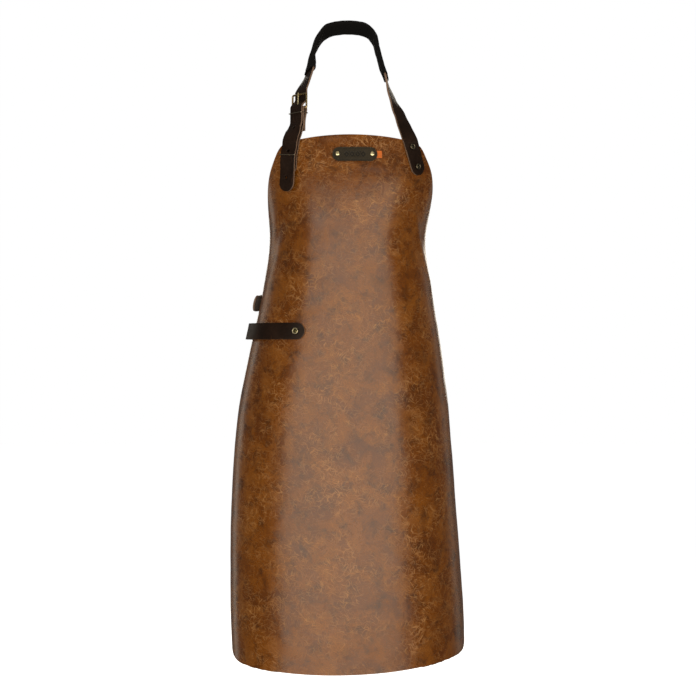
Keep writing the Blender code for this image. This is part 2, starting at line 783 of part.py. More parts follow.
def make_waist(sets, panel, leather):
    parts, cutters, brass = sets
    place = waist_buckle_axes()
    arcs = spaced(WAIST_HEEL_ARC + 0.012, WAIST_LEFT_START, 0.011)
    wing = [body_station(arc, WAIST_DROP, waist_lift(arc)) for arc in arcs]
    short_path = Path(fold_stations(place) + wing)
    short = strap(
        "waist_buckle_strap", short_path, parts, leather, round_start=False, spacing=0.009
    )
    heel = short_path.nearest(place @ Vector((0, 0, FOLD_RADIUS)))
    around = girth(WAIST_DROP)
    far_arc = around + WAIST_HEEL_ARC - BUCKLE_LENGTH - 0.016
    before = [
        body_station(arc, WAIST_DROP, STRAP_LIFT)
        for arc in spaced(WAIST_RIGHT_START, far_arc, 0.016)
    ]
    long_path = Path(before + threaded_stations(place) + waist_tail(short_path, heel))
    long = strap("waist_strap", long_path, parts, leather, spacing=0.010)
    buckle_metal("waist", place, parts, brass)
    slot, bore = tongue_cutters("waist", place, cutters)
    cut(short, [slot])
    cut(long, [bore])
    strap_holes("waist", long_path, place, long, cutters)
    grip = STRAP_LIFT + STRAP_THICKNESS / 2 + LAY_GAP
    rivets_through(
        ("waist_rivet_right_front", "waist_rivet_right_rear"), long_path,
        (WAIST_RIVET_INSET, WAIST_RIVET_INSET + WAIST_RIVET_PITCH), grip, sets, (long, panel),
    )
    rivets_through(
        ("waist_rivet_left_front", "waist_rivet_left_rear"), short_path,
        (short_path.length - WAIST_RIVET_INSET,
         short_path.length - WAIST_RIVET_INSET - WAIST_RIVET_PITCH), grip, sets, (short, panel),
    )
    top = LAYER + 0.0002 + STRAP_THICKNESS / 2
    keeper(
        "waist_keeper", short_path, heel + KEEPER_STEP,
        -2 * FOLD_RADIUS - STRAP_THICKNESS / 2 + 0.001, top + 0.0004, parts, brass,
    )


def waist_tail(short_path, heel):
    """Belt's free end: over the short strap, its stiff tip springing off the side."""
    stations = []
    for distance in spaced(heel + 0.012, short_path.length, 0.012):
        point, along, face = short_path.frame(distance)
        rise = LAYER + 0.0004 + (TAIL_RISE + GAP - LAYER) * ease((distance - heel - 0.012) / 0.02)
        stations.append((point + face * rise, face))
    for share in (0.4, 1.0):
        arc = WAIST_LEFT_START + WAIST_TAIL_SPARE * share
        lift = STRAP_LIFT + TAIL_RISE + (WAIST_TIP_LIFT - TAIL_RISE) * share**1.3
        stations.append(body_station(arc, WAIST_DROP, lift))
    return stations


def make_label(sets, panel, leather, ribbon):
    parts, cutters, brass = sets
    tag_lift = PANEL_FACE + GAP + TAG_THICKNESS / 2
    label_lift = tag_lift + TAG_THICKNESS / 2 + GAP + LABEL_THICKNESS / 2
    start, end = LABEL_ARC - LABEL_LENGTH / 2, LABEL_ARC + LABEL_LENGTH / 2
    path = Path([
        body_station(arc, LABEL_DROP, label_lift) for arc in spaced(start, end, 0.010)
    ])
    label = strap(
        "label_plate", path, parts, leather, LABEL_WIDTH, LABEL_THICKNESS, spacing=0.008
    )
    inset = LABEL_WIDTH * 0.37
    grip = label_lift + LABEL_THICKNESS / 2
    rivets_through(
        ("label_rivet_left", "label_rivet_right"), path, (inset, path.length - inset),
        grip, sets, (label, panel), LABEL_CAP_RADIUS, LABEL_THICKNESS,
    )
    tag_end = end + TAG_SHOWING
    tag = Path([
        body_station(arc, LABEL_DROP, tag_lift)
        for arc in spaced(tag_end - TAG_LENGTH, tag_end, 0.005)
    ])
    tag_piece = strap(
        "side_tag", tag, parts, ribbon, TAG_WIDTH, TAG_THICKNESS, False, False, spacing=0.005
    )
    window = hole_cutter(
        "side_tag_cutter", rivet_place(path, path.length - inset, LABEL_THICKNESS),
        POST_RADIUS + GAP, 0.002, grip + 0.004, cutters,
    )
    cut(tag_piece, [window])


def make_towel_loop(sets, panel, leather):
    parts = sets[0]
    stations = []
    for arc in spaced(LOOP_FRONT, LOOP_REAR, 0.0135):
        share = (arc - LOOP_FRONT) / (LOOP_REAR - LOOP_FRONT)
        bulge = LOOP_BULGE * ease((share - 0.17) / 0.42) * ease((0.90 - share) / 0.24)
        stations.append(body_station(arc, LOOP_DROP, STRAP_LIFT + bulge))
    path = Path(stations)
    band = strap("towel_loop", path, parts, leather, spacing=0.010)
    grip = STRAP_LIFT + STRAP_THICKNESS / 2 + LAY_GAP
    rivets_through(
        ("towel_rivet_front", "towel_rivet_rear"), path,
        (LOOP_RIVET_INSET, path.length - LOOP_RIVET_INSET), grip, sets, (band, panel),
        CAP_RADIUS * 1.15,
    )


def main():
    clear_scene()
    parts = new_collection("leather_apron")
    cutters = new_collection("cutters")
    hide = material("tan_hide", (0.22, 0.075, 0.015), 0.42)
    dark = material("dark_strap_leather", (0.030, 0.014, 0.008), 0.45)
    slate = material("label_leather", (0.050, 0.040, 0.030), 0.55)
    cloth = material("black_cloth", (0.010, 0.010, 0.010), 0.95)
    orange = material("orange_ribbon", (0.85, 0.16, 0.02), 0.80)
    brass = material("antique_brass", (0.45, 0.36, 0.20), 0.35, 1.0)
    sets = (parts, cutters, brass)
    panel = make_panel(parts, hide)
    make_label(sets, panel, slate, orange)
    make_towel_loop(sets, panel, dark)
    make_neck(sets, panel, dark, cloth)
    make_waist(sets, panel, dark)
    cutters.hide_render = True


main()
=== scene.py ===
"""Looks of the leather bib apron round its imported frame.

Units are metres and +Z is up. The wearer faces -Y. Every piece is made again, finer, where the
frame has it: the panel, straps and label lie on the wearer's outline, read by arc (the length
round the body from its front line) and drop (the depth below the bib's top edge).
"""

import json
from math import copysign, cos, exp, hypot, pi, radians, sin, sqrt

import bmesh
import bpy
import numpy as np
from mathutils import Matrix, Vector, noise

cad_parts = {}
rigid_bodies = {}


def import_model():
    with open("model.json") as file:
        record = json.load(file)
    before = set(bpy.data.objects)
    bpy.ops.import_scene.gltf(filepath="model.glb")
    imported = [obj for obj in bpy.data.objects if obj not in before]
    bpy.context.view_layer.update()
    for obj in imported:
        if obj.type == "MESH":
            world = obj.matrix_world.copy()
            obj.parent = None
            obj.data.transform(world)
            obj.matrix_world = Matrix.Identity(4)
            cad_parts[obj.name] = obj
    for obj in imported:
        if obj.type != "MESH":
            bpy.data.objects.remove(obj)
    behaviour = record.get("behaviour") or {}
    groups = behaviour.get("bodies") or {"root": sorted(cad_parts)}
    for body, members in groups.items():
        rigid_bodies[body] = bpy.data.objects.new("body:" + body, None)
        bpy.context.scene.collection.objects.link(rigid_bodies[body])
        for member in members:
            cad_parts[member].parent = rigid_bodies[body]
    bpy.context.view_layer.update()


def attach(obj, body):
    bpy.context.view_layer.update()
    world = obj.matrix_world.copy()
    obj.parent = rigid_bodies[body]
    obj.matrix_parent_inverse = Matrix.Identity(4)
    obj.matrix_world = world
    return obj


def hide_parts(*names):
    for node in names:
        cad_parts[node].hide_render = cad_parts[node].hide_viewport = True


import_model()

# Gap between two pieces that touch, the larger one where a curved piece lies on another, and
# the little more that a bend needs.
GAP = 0.0003
LAY_GAP = 0.0008
BEND_GAP = 0.0001
# How far a cut edge of strap leather is rounded.
EDGE_ROUND = 0.0005

# Bib and skirt, cut from one hide.
PANEL_WIDTH = 0.600
PANEL_LENGTH = 0.808
PANEL_THICKNESS = 0.0022
BIB_ARCH = 0.010
ARCH_FADE = 0.16
HEM_CORNER = 0.115
# How far the worn hem rises towards both sides, and how much more towards the right.
HEM_BOW = 0.013
HEM_SKEW = 0.006
# Half width of the flat cut at each drop, from the bib's corner round the armhole,
# with its last value at the full width.
ARMHOLE = (
    (0.000, 0.101),
    (0.006, 0.112),
    (0.022, 0.124),
    (0.048, 0.139),
    (0.075, 0.149),
    (0.110, 0.158),
    (0.145, 0.173),
    (0.180, 0.205),
    (0.215, 0.256),
    (0.245, 0.292),
    (0.275, 0.300),
)

# The wearer's outline: drop, centre x, half width, half depth, front y, turn in degrees.
SECTIONS = (
    (0.00, 0.004, 0.136, 0.090, -0.098, 0.0),
    (0.07, 0.003, 0.131, 0.092, -0.106, 0.0),
    (0.15, -0.001, 0.1185, 0.097, -0.108, 0.0),
    (0.23, -0.001, 0.128, 0.102, -0.107, 1.0),
    (0.31, -0.003, 0.143, 0.110, -0.107, 2.0),
    (0.40, -0.006, 0.158, 0.117, -0.108, 3.5),
    (0.49, -0.007, 0.167, 0.121, -0.110, 5.0),
    (0.60, -0.005, 0.174, 0.124, -0.113, 7.0),
    (0.72, -0.001, 0.179, 0.126, -0.116, 9.0),
    (0.83, 0.002, 0.179, 0.126, -0.117, 10.0),
)
BIB_TOP = -0.1735
# How far the stiff right wing stands off the wearer at the hem, behind the side, the drop
# where that starts, and the share of the side's arc where it starts.
WING_FLARE = 0.012
FLARE_DROP = 0.30
FLARE_SHARE = 0.86

# Straps.
STRAP_WIDTH = 0.025
STRAP_THICKNESS = 0.0026
STRAP_HOLE = 0.0025
HOLE_PITCH = 0.040

# Neck loop: the free parts of the two legs and the crown, as (place, face direction).
NECK_RIGHT_LEG = (
    ((0.0855, -0.0755, -0.1600), (0.62, -0.78, 0.06)),
    ((0.0780, -0.0675, -0.1400), (0.74, -0.66, 0.12)),
    ((0.0672, -0.0590, -0.1140), (0.90, -0.36, 0.20)),
    ((0.0575, -0.0460, -0.0805), (0.96, 0.00, 0.28)),
)
NECK_CROWN = (
    ((0.0515, -0.0350, -0.0610), (0.96, 0.06, 0.26)),
    ((0.0455, -0.0230, -0.0370), (0.95, 0.10, 0.28)),
    ((0.0405, -0.0110, -0.0165), (0.82, 0.30, 0.49)),
    ((0.0270, -0.0015, -0.0015), (0.42, 0.46, 0.79)),
    ((-0.0030, 0.0018, 0.0030), (0.00, 0.50, 0.866)),
    ((-0.0320, -0.0015, -0.0030), (-0.44, 0.46, 0.77)),
    ((-0.0470, -0.0125, -0.0215), (-0.82, 0.20, 0.50)),
    ((-0.0555, -0.0270, -0.0470), (-0.94, -0.10, 0.30)),
    ((-0.0580, -0.0390, -0.0700), (-0.88, -0.42, 0.24)),
)
# Each leg's foot on the bib: arc and drop where it comes onto the bib and at its end.
NECK_RIGHT_FOOT = ((0.0915, 0.008), (0.1090, 0.059))
NECK_LEFT_FOOT = ((-0.0890, 0.006), (-0.0950, 0.059))
NECK_RIVET_INSET = 0.013
NECK_RIVET_PITCH = 0.031
NECK_HEEL = Vector((-0.0735, -0.0680, -0.1325))
NECK_HEEL_FACE = Vector((-0.72, -0.69, 0.05))
NECK_TAIL_SPARE = 0.026
# How far the free end hangs to one side, and over which last part of the strap.
NECK_TAIL_SWAY = -0.002
NECK_SWAY_LENGTH = 0.046

# Fabric sleeve round the neck strap.
PAD_SIDE_ROOM = 0.0025
PAD_WIDTH = STRAP_WIDTH + 2 * PAD_SIDE_ROOM
PAD_WALL = 0.0012
PAD_ROOM = 0.0012
PAD_GIRTH = 0.064
PAD_ROW = 0.0016
PAD_COLUMNS = 48
# Where the hem's stitched line is drawn in, how narrow it is, and how deep.
PAD_HEM = 0.006
PAD_HEM_WIDTH = 0.0012
PAD_HEM_DEPTH = 0.0007

# Rectangular wire buckle.
BUCKLE_SIDE_ROOM = 0.0015
BUCKLE_OPENING = STRAP_WIDTH + 2 * BUCKLE_SIDE_ROOM
BUCKLE_LENGTH = 0.023
BUCKLE_WIRE = 0.0015
BUCKLE_CORNER = 0.003
TONGUE_WIRE = 0.0012
TONGUE_PLAY = 0.0013
FLAP_LENGTH = 0.034
KEEPER_WIRE = 0.0006
KEEPER_GAP = 0.0009
KEEPER_CORNER = 0.0016
KEEPER_STEP = 0.0065

# Rivets.
CAP_RADIUS = 0.0047
CAP_HEIGHT = 0.0020
POST_RADIUS = 0.0013
BASE_SHARE = 0.9
BASE_HEIGHT = 0.0010
CAP_SEAT = 0.0006
BASE_SEAT = 0.0009
LABEL_CAP_RADIUS = 0.0035

# Label and its side tag.
LABEL_LENGTH = 0.066
LABEL_WIDTH = 0.021
LABEL_THICKNESS = 0.0022
LABEL_ARC = 0.0065
LABEL_DROP = 0.0300
# How deep the label's ornament is pressed.
LABEL_PRESS = 0.0006
BORDER_INSET = 0.0018
BORDER_WIDTH = 0.00045
TAG_LENGTH = 0.016
TAG_WIDTH = 0.011
TAG_THICKNESS = 0.0007
TAG_SHOWING = 0.0075

# Towel loop: its two ends along the arc, its drop, and how far its middle stands off.
LOOP_FRONT = -0.0655
LOOP_REAR = -0.258
LOOP_DROP = 0.295
LOOP_BULGE = 0.0078
LOOP_RIVET_INSET = 0.0145

# Waist straps.
WAIST_DROP = 0.2510
WAIST_RIGHT_START = 0.205
WAIST_LEFT_START = -0.222
WAIST_HEEL_ARC = -0.328
WAIST_HEEL_LIFT = 0.0050
WAIST_RIVET_INSET = 0.012
WAIST_RIVET_PITCH = 0.026
WAIST_TAIL_SPARE = 0.030
WAIST_TIP_LIFT = 0.0085

# Cross rows of a strap: the step they are looked for at, and the most they turn.
ROW_STEP = 0.0004
ROW_TURN = radians(4)
# Sides of turned pieces and of the cutters that drill holes.
TURNED_SIDES = 48
DRILL_SIDES = 28

# Heights that the pieces' layers lie at: the panel's face off the wearer, a strap's middle on
# the panel, and the long strap over the short one, first bare and then over its rivet caps.
HALF_STRAP = STRAP_THICKNESS / 2
PANEL_FACE = PANEL_THICKNESS * 1.04
STRAP_LIFT = PANEL_FACE + LAY_GAP + HALF_STRAP
STRAP_GRIP = STRAP_LIFT + HALF_STRAP + LAY_GAP
FOLD_RADIUS = BUCKLE_WIRE + GAP + HALF_STRAP + BEND_GAP
LAYER = STRAP_THICKNESS + GAP + BEND_GAP
SECOND_LAYER = LAYER + 2 * BEND_GAP
TAIL_RISE = STRAP_THICKNESS + CAP_SEAT + CAP_HEIGHT + GAP
# How far past the heel bar the long strap is free to climb, and the length it climbs over.
CLIMB_START = 0.012
CLIMB_LENGTH = 0.02


# The wearer's outline
def placed(point, along, face):
    """Matrix at a point with +Z along face and +Y against the direction along."""
    z = face.normalized()
    y = -(along - z * along.dot(z)).normalized()
    x = y.cross(z)
    turn = Matrix((x, y, z)).transposed().to_4x4()
    return Matrix.Translation(point) @ turn


def cubic(u, start, end, leaving, arriving):
    """Smooth step from start to end, with the slopes at both."""
    first = (2 * u**3 - 3 * u**2 + 1) * start + (u**3 - 2 * u**2 + u) * leaving
    return first + (3 * u**2 - 2 * u**3) * end + (u**3 - u**2) * arriving


def smooth_read(table, x):
    """Values of a table's row at x, smooth between rows and level past both ends."""
    keys = [row[0] for row in table]
    rows = [np.array(row[1:], dtype=float) for row in table]
    if x <= keys[0]:
        return rows[0]
    if x >= keys[-1]:
        return rows[-1]
    i = max(k for k in range(len(keys) - 1) if keys[k] <= x)
    span = keys[i + 1] - keys[i]
    u = (x - keys[i]) / span
    slopes = []
    for k in (i, i + 1):
        low, high = max(k - 1, 0), min(k + 1, len(keys) - 1)
        slopes.append((rows[high] - rows[low]) / (keys[high] - keys[low]) * span)
    return cubic(u, rows[i], rows[i + 1], *slopes)


def ease(x):
    x = min(max(x, 0.0), 1.0)
    return x * x * (3 - 2 * x)


def spaced(start, end, step):
    count = max(1, round(abs(end - start) / step))
    return [start + (end - start) * k / count for k in range(count + 1)]


def ellipse_arcs(half_width, half_depth):
    """Angles once round an ellipse from its front, and the arc length to each."""
    angles = np.linspace(0, 2 * np.pi, 361)
    speed = np.hypot(half_width * np.cos(angles), half_depth * np.sin(angles))
    steps = (speed[1:] + speed[:-1]) / 2 * np.diff(angles)
    return angles, np.concatenate(([0.0], np.cumsum(steps)))


def wing_flare(arc, drop, side_arc):
    """Stand-off of the stiff right wing behind the side, growing towards the hem."""
    start = side_arc * FLARE_SHARE
    reach = (arc - start) / (PANEL_WIDTH / 2 - start)
    depth = (drop - FLARE_DROP) / (PANEL_LENGTH - FLARE_DROP)
    return WING_FLARE * ease(reach) * ease(depth)


def on_body(arc, drop, lift=0.0):
    centre, half_width, half_depth, front, turn = smooth_read(SECTIONS, drop)
    angles, arcs = ellipse_arcs(half_width, half_depth)
    angle = copysign(float(np.interp(abs(arc), arcs, angles)), arc)
    normal = Vector((sin(angle) / half_width, -cos(angle) / half_depth, 0.0))
    point = Vector((half_width * sin(angle), -half_depth * cos(angle), 0.0))
    side_arc = arcs[90]
    point += normal.normalized() * (lift + wing_flare(arc, drop, side_arc))
    point = Matrix.Rotation(radians(turn), 3, "Z") @ point
    return point + Vector((centre, front + half_depth, BIB_TOP - drop))


def body_station(arc, drop, lift):
    """Point off the wearer and the direction that its surface faces."""
    step = 0.002
    point = on_body(arc, drop, lift)
    across = on_body(arc + step, drop, lift) - on_body(arc - step, drop, lift)
    down = on_body(arc, drop + step, lift) - on_body(arc, drop - step, lift)
    return point, down.cross(across).normalized()


# Strap paths
class Path:
    """Smooth centre line through stations of (point, face), read by distance along it."""

    FINE = 14

    def __init__(self, stations):
        points = [Vector(p) for p, face in stations]
        faces = [Vector(face).normalized() for p, face in stations]
        line, normals = [], []
        for i in range(len(points) - 1):
            for step in range(self.FINE):
                u = step / self.FINE
                line.append(self.between(points, i, u))
                normals.append(faces[i].lerp(faces[i + 1], ease(u)))
        line.append(points[-1])
        normals.append(faces[-1])
        self.line = np.array(line)
        self.normals = np.array(normals)
        hops = np.linalg.norm(np.diff(self.line, axis=0), axis=1)
        self.reach = np.concatenate(([0.0], np.cumsum(hops)))
        self.length = float(self.reach[-1])

    @staticmethod
    def between(points, i, u):
        span = (points[i + 1] - points[i]).length
        slopes = []
        for k in (i, i + 1):
            before = points[max(k - 1, 0)]
            after = points[min(k + 1, len(points) - 1)]
            run = (points[k] - before).length + (after - points[k]).length
            slopes.append((after - before) / run * span)
        return cubic(u, points[i], points[i + 1], *slopes)

    def point(self, distance):
        return Vector([np.interp(distance, self.reach, self.line[:, k]) for k in range(3)])

    def frame(self, distance):
        """Point, direction along, and face direction square to it."""
        step = 0.0008
        low, high = max(distance - step, 0.0), min(distance + step, self.length)
        along = (self.point(high) - self.point(low)).normalized()
        face = Vector([np.interp(distance, self.reach, self.normals[:, k]) for k in range(3)])
        face = (face - along * face.dot(along)).normalized()
        return self.point(distance), along, face

    def place(self, distance, lift=0.0):
        """Matrix on the strap, off its middle by lift, with +Z along its face."""
        point, along, face = self.frame(distance)
        return placed(point + face * lift, along, face)

    def nearest(self, place):
        """Distance along the path to its point closest to a place."""
        gaps = np.linalg.norm(self.line - np.array(place), axis=1)
        return float(self.reach[int(np.argmin(gaps))])


def end_profile(distance, length, half, round_start, round_end):
    """Half width of a strap with semicircular ends."""
    room = min(distance if round_start else half, length - distance if round_end else half)
    if room >= half:
        return half
    return half * sqrt(max(1 - (1 - room / half) ** 2, 0.0))


def strap_rows(path, half, round_start, round_end, spacing):
    """Distances of the cross rows, closer where the path bends or an end is rounded."""
    bends = [half * (1 - cos(radians(a))) for a in (7, 14, 22, 30, 38, 47, 56, 66, 77)]
    start = half if round_start else 0.0
    end = path.length - half if round_end else path.length
    rows = [start]
    distance, heading = start, path.frame(start)[1]
    while distance < end - ROW_STEP:
        distance += ROW_STEP
        along = path.frame(distance)[1]
        if distance - rows[-1] >= spacing or along.angle(heading) > ROW_TURN:
            rows.append(distance)
            heading = along
    if end - rows[-1] > ROW_STEP:
        rows.append(end)
    else:
        rows[-1] = end
    if round_start:
        rows = bends + rows
    if round_end:
        rows = rows + [path.length - bend for bend in reversed(bends)]
    return rows


def local_station(place, y, z, face):
    return place @ Vector((0, y, z)), place.to_3x3() @ Vector(face)


def fold_stations(place):
    """Short strap's flap and its fold round the heel bar, from the flap's end."""
    behind = FOLD_RADIUS - LAYER
    flap = (
        (-FLAP_LENGTH, behind),
        (-FLAP_LENGTH * 0.75, behind),
        (-FLAP_LENGTH * 0.50, behind - 0.0005),
        (-FLAP_LENGTH * 0.25, -FOLD_RADIUS * 0.62),
        (-FOLD_RADIUS * 0.6, -FOLD_RADIUS),
    )
    stations = [local_station(place, y, z, (0, 0, -1)) for y, z in flap]
    for angle in range(-90, 91, 22):
        bend = radians(angle)
        radial = (0, cos(bend), sin(bend))
        spot = (FOLD_RADIUS * radial[1], FOLD_RADIUS * radial[2])
        stations.append(local_station(place, *spot, radial))
    return stations


def threaded_height(y):
    """Long strap's height as it comes from behind the far bar over the heel bar."""
    low = -(BUCKLE_WIRE + GAP + HALF_STRAP + GAP)
    high = FOLD_RADIUS + SECOND_LAYER
    crossing = BUCKLE_LENGTH - 4.5 * BUCKLE_WIRE
    return low + (high - low) * ease((crossing - y) / (crossing - 0.002))


def threaded_stations(place):
    """Long strap through the buckle, from beyond the far bar to past the heel bar."""
    steps = 11
    start = BUCKLE_LENGTH + 0.006
    spots = [start - (start + 0.006) * k / steps for k in range(steps + 1)]
    return [local_station(place, y, threaded_height(y), (0, 0, 1)) for y in spots]


def level_stations(start, end, step, drop, lift):
    """Stations round the body at one drop. The lift is one height, or is read at each arc."""
    return [
        body_station(arc, drop, lift(arc) if callable(lift) else lift)
        for arc in spaced(start, end, step)
    ]


def panel_half_width(drop):
    half = float(smooth_read(ARMHOLE, drop)[0]) * PANEL_WIDTH / (2 * ARMHOLE[-1][1])
    into_corner = drop - (PANEL_LENGTH - HEM_CORNER)
    if into_corner > 0:
        half -= HEM_CORNER - sqrt(max(HEM_CORNER**2 - into_corner**2, 0.0))
    return half


def waist_lift(arc):
    """Short waist strap's lift: flat on the wing, rising to the buckle's fold."""
    start, end = WAIST_LEFT_START - 0.045, WAIST_HEEL_ARC
    return STRAP_LIFT + (WAIST_HEEL_LIFT + FOLD_RADIUS - STRAP_LIFT) * ease(
        (arc - start) / (end - start)
    )


def keeper_bulge(drop):
    """Extra lift where the short neck strap passes over the lower keeper."""
    middle = NECK_LEFT_FOOT[1][1] - NECK_RIVET_INSET - NECK_RIVET_PITCH / 2
    return (2 * KEEPER_WIRE + KEEPER_GAP) * exp(-(((drop - middle) / 0.010) ** 2))


def foot_stations(foot, bulge=None):
    """Stations of a strap's foot on the bib, from where it comes onto it to its end."""
    (first_arc, first_drop), (last_arc, last_drop) = foot
    stations = []
    for share in spaced(0.0, 1.0, 0.125):
        drop = first_drop + (last_drop - first_drop) * share
        arc = first_arc + (last_arc - first_arc) * share
        lift = STRAP_LIFT + (bulge(drop) if bulge else 0.0)
        stations.append(body_station(arc, drop, lift))
    return stations


def neck_buckle_axes():
    """The neck buckle's axes: its far bar points away from the strap's foot on the bib."""
    foot, face = foot_stations(NECK_LEFT_FOOT, keeper_bulge)[0]
    return placed(NECK_HEEL, foot - face * FOLD_RADIUS - NECK_HEEL, NECK_HEEL_FACE)


def waist_buckle_axes():
    heel, face = body_station(WAIST_HEEL_ARC, WAIST_DROP, WAIST_HEEL_LIFT)
    ahead = body_station(WAIST_HEEL_ARC + 0.02, WAIST_DROP, WAIST_HEEL_LIFT)[0]
    return placed(heel, ahead - heel, face)


def climb(short_path, heel, step, low, gain):
    """Long strap over the short one, rising onto the short one's rivet caps."""
    start = heel + CLIMB_START
    stations = []
    for distance in spaced(start, short_path.length, step):
        point, along, face = short_path.frame(distance)
        rise = low + gain * ease((distance - start) / CLIMB_LENGTH)
        stations.append((point + face * rise, face))
    return stations


def neck_tail(short_path, heel):
    """Neck strap's free end, past the short strap's foot."""
    stations = climb(short_path, heel, 0.010, SECOND_LAYER, TAIL_RISE - LAYER)
    point, along, face = short_path.frame(short_path.length)
    tip = point + along * NECK_TAIL_SPARE + face * (TAIL_RISE - 0.0005)
    return [*stations, (tip, face)]


def waist_tail(short_path, heel):
    """Belt's free end, its stiff tip springing off the side."""
    low = SECOND_LAYER + 2 * BEND_GAP
    stations = climb(short_path, heel, 0.012, low, TAIL_RISE + GAP - LAYER)
    for share in (0.4, 1.0):
        arc = WAIST_LEFT_START + WAIST_TAIL_SPARE * share
        lift = STRAP_LIFT + TAIL_RISE + (WAIST_TIP_LIFT - TAIL_RISE) * share**1.3
        stations.append(body_station(arc, WAIST_DROP, lift))
    return stations


def rounded_loop(half_x, low_y, high_y, corner, steps):
    """Closed rounded rectangle in the XY plane."""
    points = []
    corners = (
        (half_x - corner, high_y - corner, 0),
        (-half_x + corner, high_y - corner, 90),
        (-half_x + corner, low_y + corner, 180),
        (half_x - corner, low_y + corner, 270),
    )
    for x, y, start in corners:
        for k in range(steps + 1):
            angle = radians(start + 90 * k / steps)
            points.append((x + corner * cos(angle), y + corner * sin(angle), 0.0))
    return points


def set_all(thing, **settings):
    for key, value in settings.items():
        setattr(thing, key, value)
    return thing


def put(name, data):
    """New object in the scene."""
    made = bpy.data.objects.new(name, data)
    bpy.context.scene.collection.objects.link(made)
    return made


def mesh_data(name, mesh, finishes=()):
    """A bmesh's final mesh, with its materials."""
    data = bpy.data.meshes.new(name)
    mesh.to_mesh(data)
    mesh.free()
    for finish in finishes:
        data.materials.append(finish)
    return data


# Camera, light and floor
CAMERA_PLACE = Vector((0.0, -3.10, -0.494))
CAMERA_LENS = 103.45
FLOOR_Z = -1.30
SURROUND_RADIUS = 14.0
WORLD_LIGHT = 0.10
LAMP_COLOUR = (1.0, 0.91, 0.76)
FLOOR_GLOW = 0.92
WHITE = (1.0, 1.0, 1.0)


def make_camera():
    camera = put("camera", set_all(bpy.data.cameras.new("camera"), lens=CAMERA_LENS))
    camera.location = CAMERA_PLACE
    camera.rotation_euler = (radians(90), 0, 0)
    bpy.context.scene.camera = camera


def area_light(name, place, target, width, height, power):
    lamp = put(name, set_all(
        bpy.data.lights.new(name, "AREA"),
        shape="RECTANGLE", size=width, size_y=height, energy=power, color=LAMP_COLOUR,
    ))
    lamp.location = place
    aim = Vector(target) - Vector(place)
    lamp.rotation_euler = aim.to_track_quat("-Z", "Y").to_euler()
    lamp.visible_camera = False


def make_studio():
    """Pale floor, a white surround that only the camera sees, and soft lamps."""
    world = bpy.data.worlds.new("studio")
    bpy.context.scene.world = world
    world.use_nodes = True
    back = world.node_tree.nodes["Background"]
    back.inputs["Color"].default_value = (1.0, 0.97, 0.93, 1.0)
    back.inputs["Strength"].default_value = WORLD_LIGHT
    wide = SURROUND_RADIUS
    mesh = bmesh.new()
    corners = ((-wide, -wide), (wide, -wide), (wide, wide), (-wide, wide))
    mesh.faces.new([mesh.verts.new((x, y, FLOOR_Z)) for x, y in corners])
    pale = Nodes("floor").finish((0.90, 0.90, 0.89), 0.9, Emission_Color=WHITE,
                                 Emission_Strength=FLOOR_GLOW)
    floor = put("floor", mesh_data("floor", mesh, [pale]))
    set_all(floor, visible_diffuse=False, visible_glossy=False)
    mesh = bmesh.new()
    bmesh.ops.create_icosphere(mesh, subdivisions=3, radius=SURROUND_RADIUS)
    white = Nodes("surround").finish((0.0, 0.0, 0.0), 1.0, Emission_Color=WHITE,
                                     Emission_Strength=1.0)
    surround = put("surround", mesh_data("surround", mesh, [white]))
    set_all(surround, visible_diffuse=False, visible_glossy=False,
                     visible_shadow=False, visible_transmission=False)
    middle = (0.0, 0.0, -0.55)
    area_light("front_softbox", (0.12, -2.3, -0.76), (0.0, 0.0, -0.76), 5.2, 1.6, 68)
    area_light("top_softbox", (0.0, -0.8, 1.6), middle, 2.0, 1.4, 9)
    area_light("left_strip", (-1.9, 1.5, -0.5), middle, 0.6, 2.2, 4)
    area_light("right_strip", (1.9, 1.5, -0.5), middle, 0.6, 2.2, 1.6)
    area_light("back_softbox", (0.2, 2.9, 0.3), middle, 2.2, 1.8, 34)


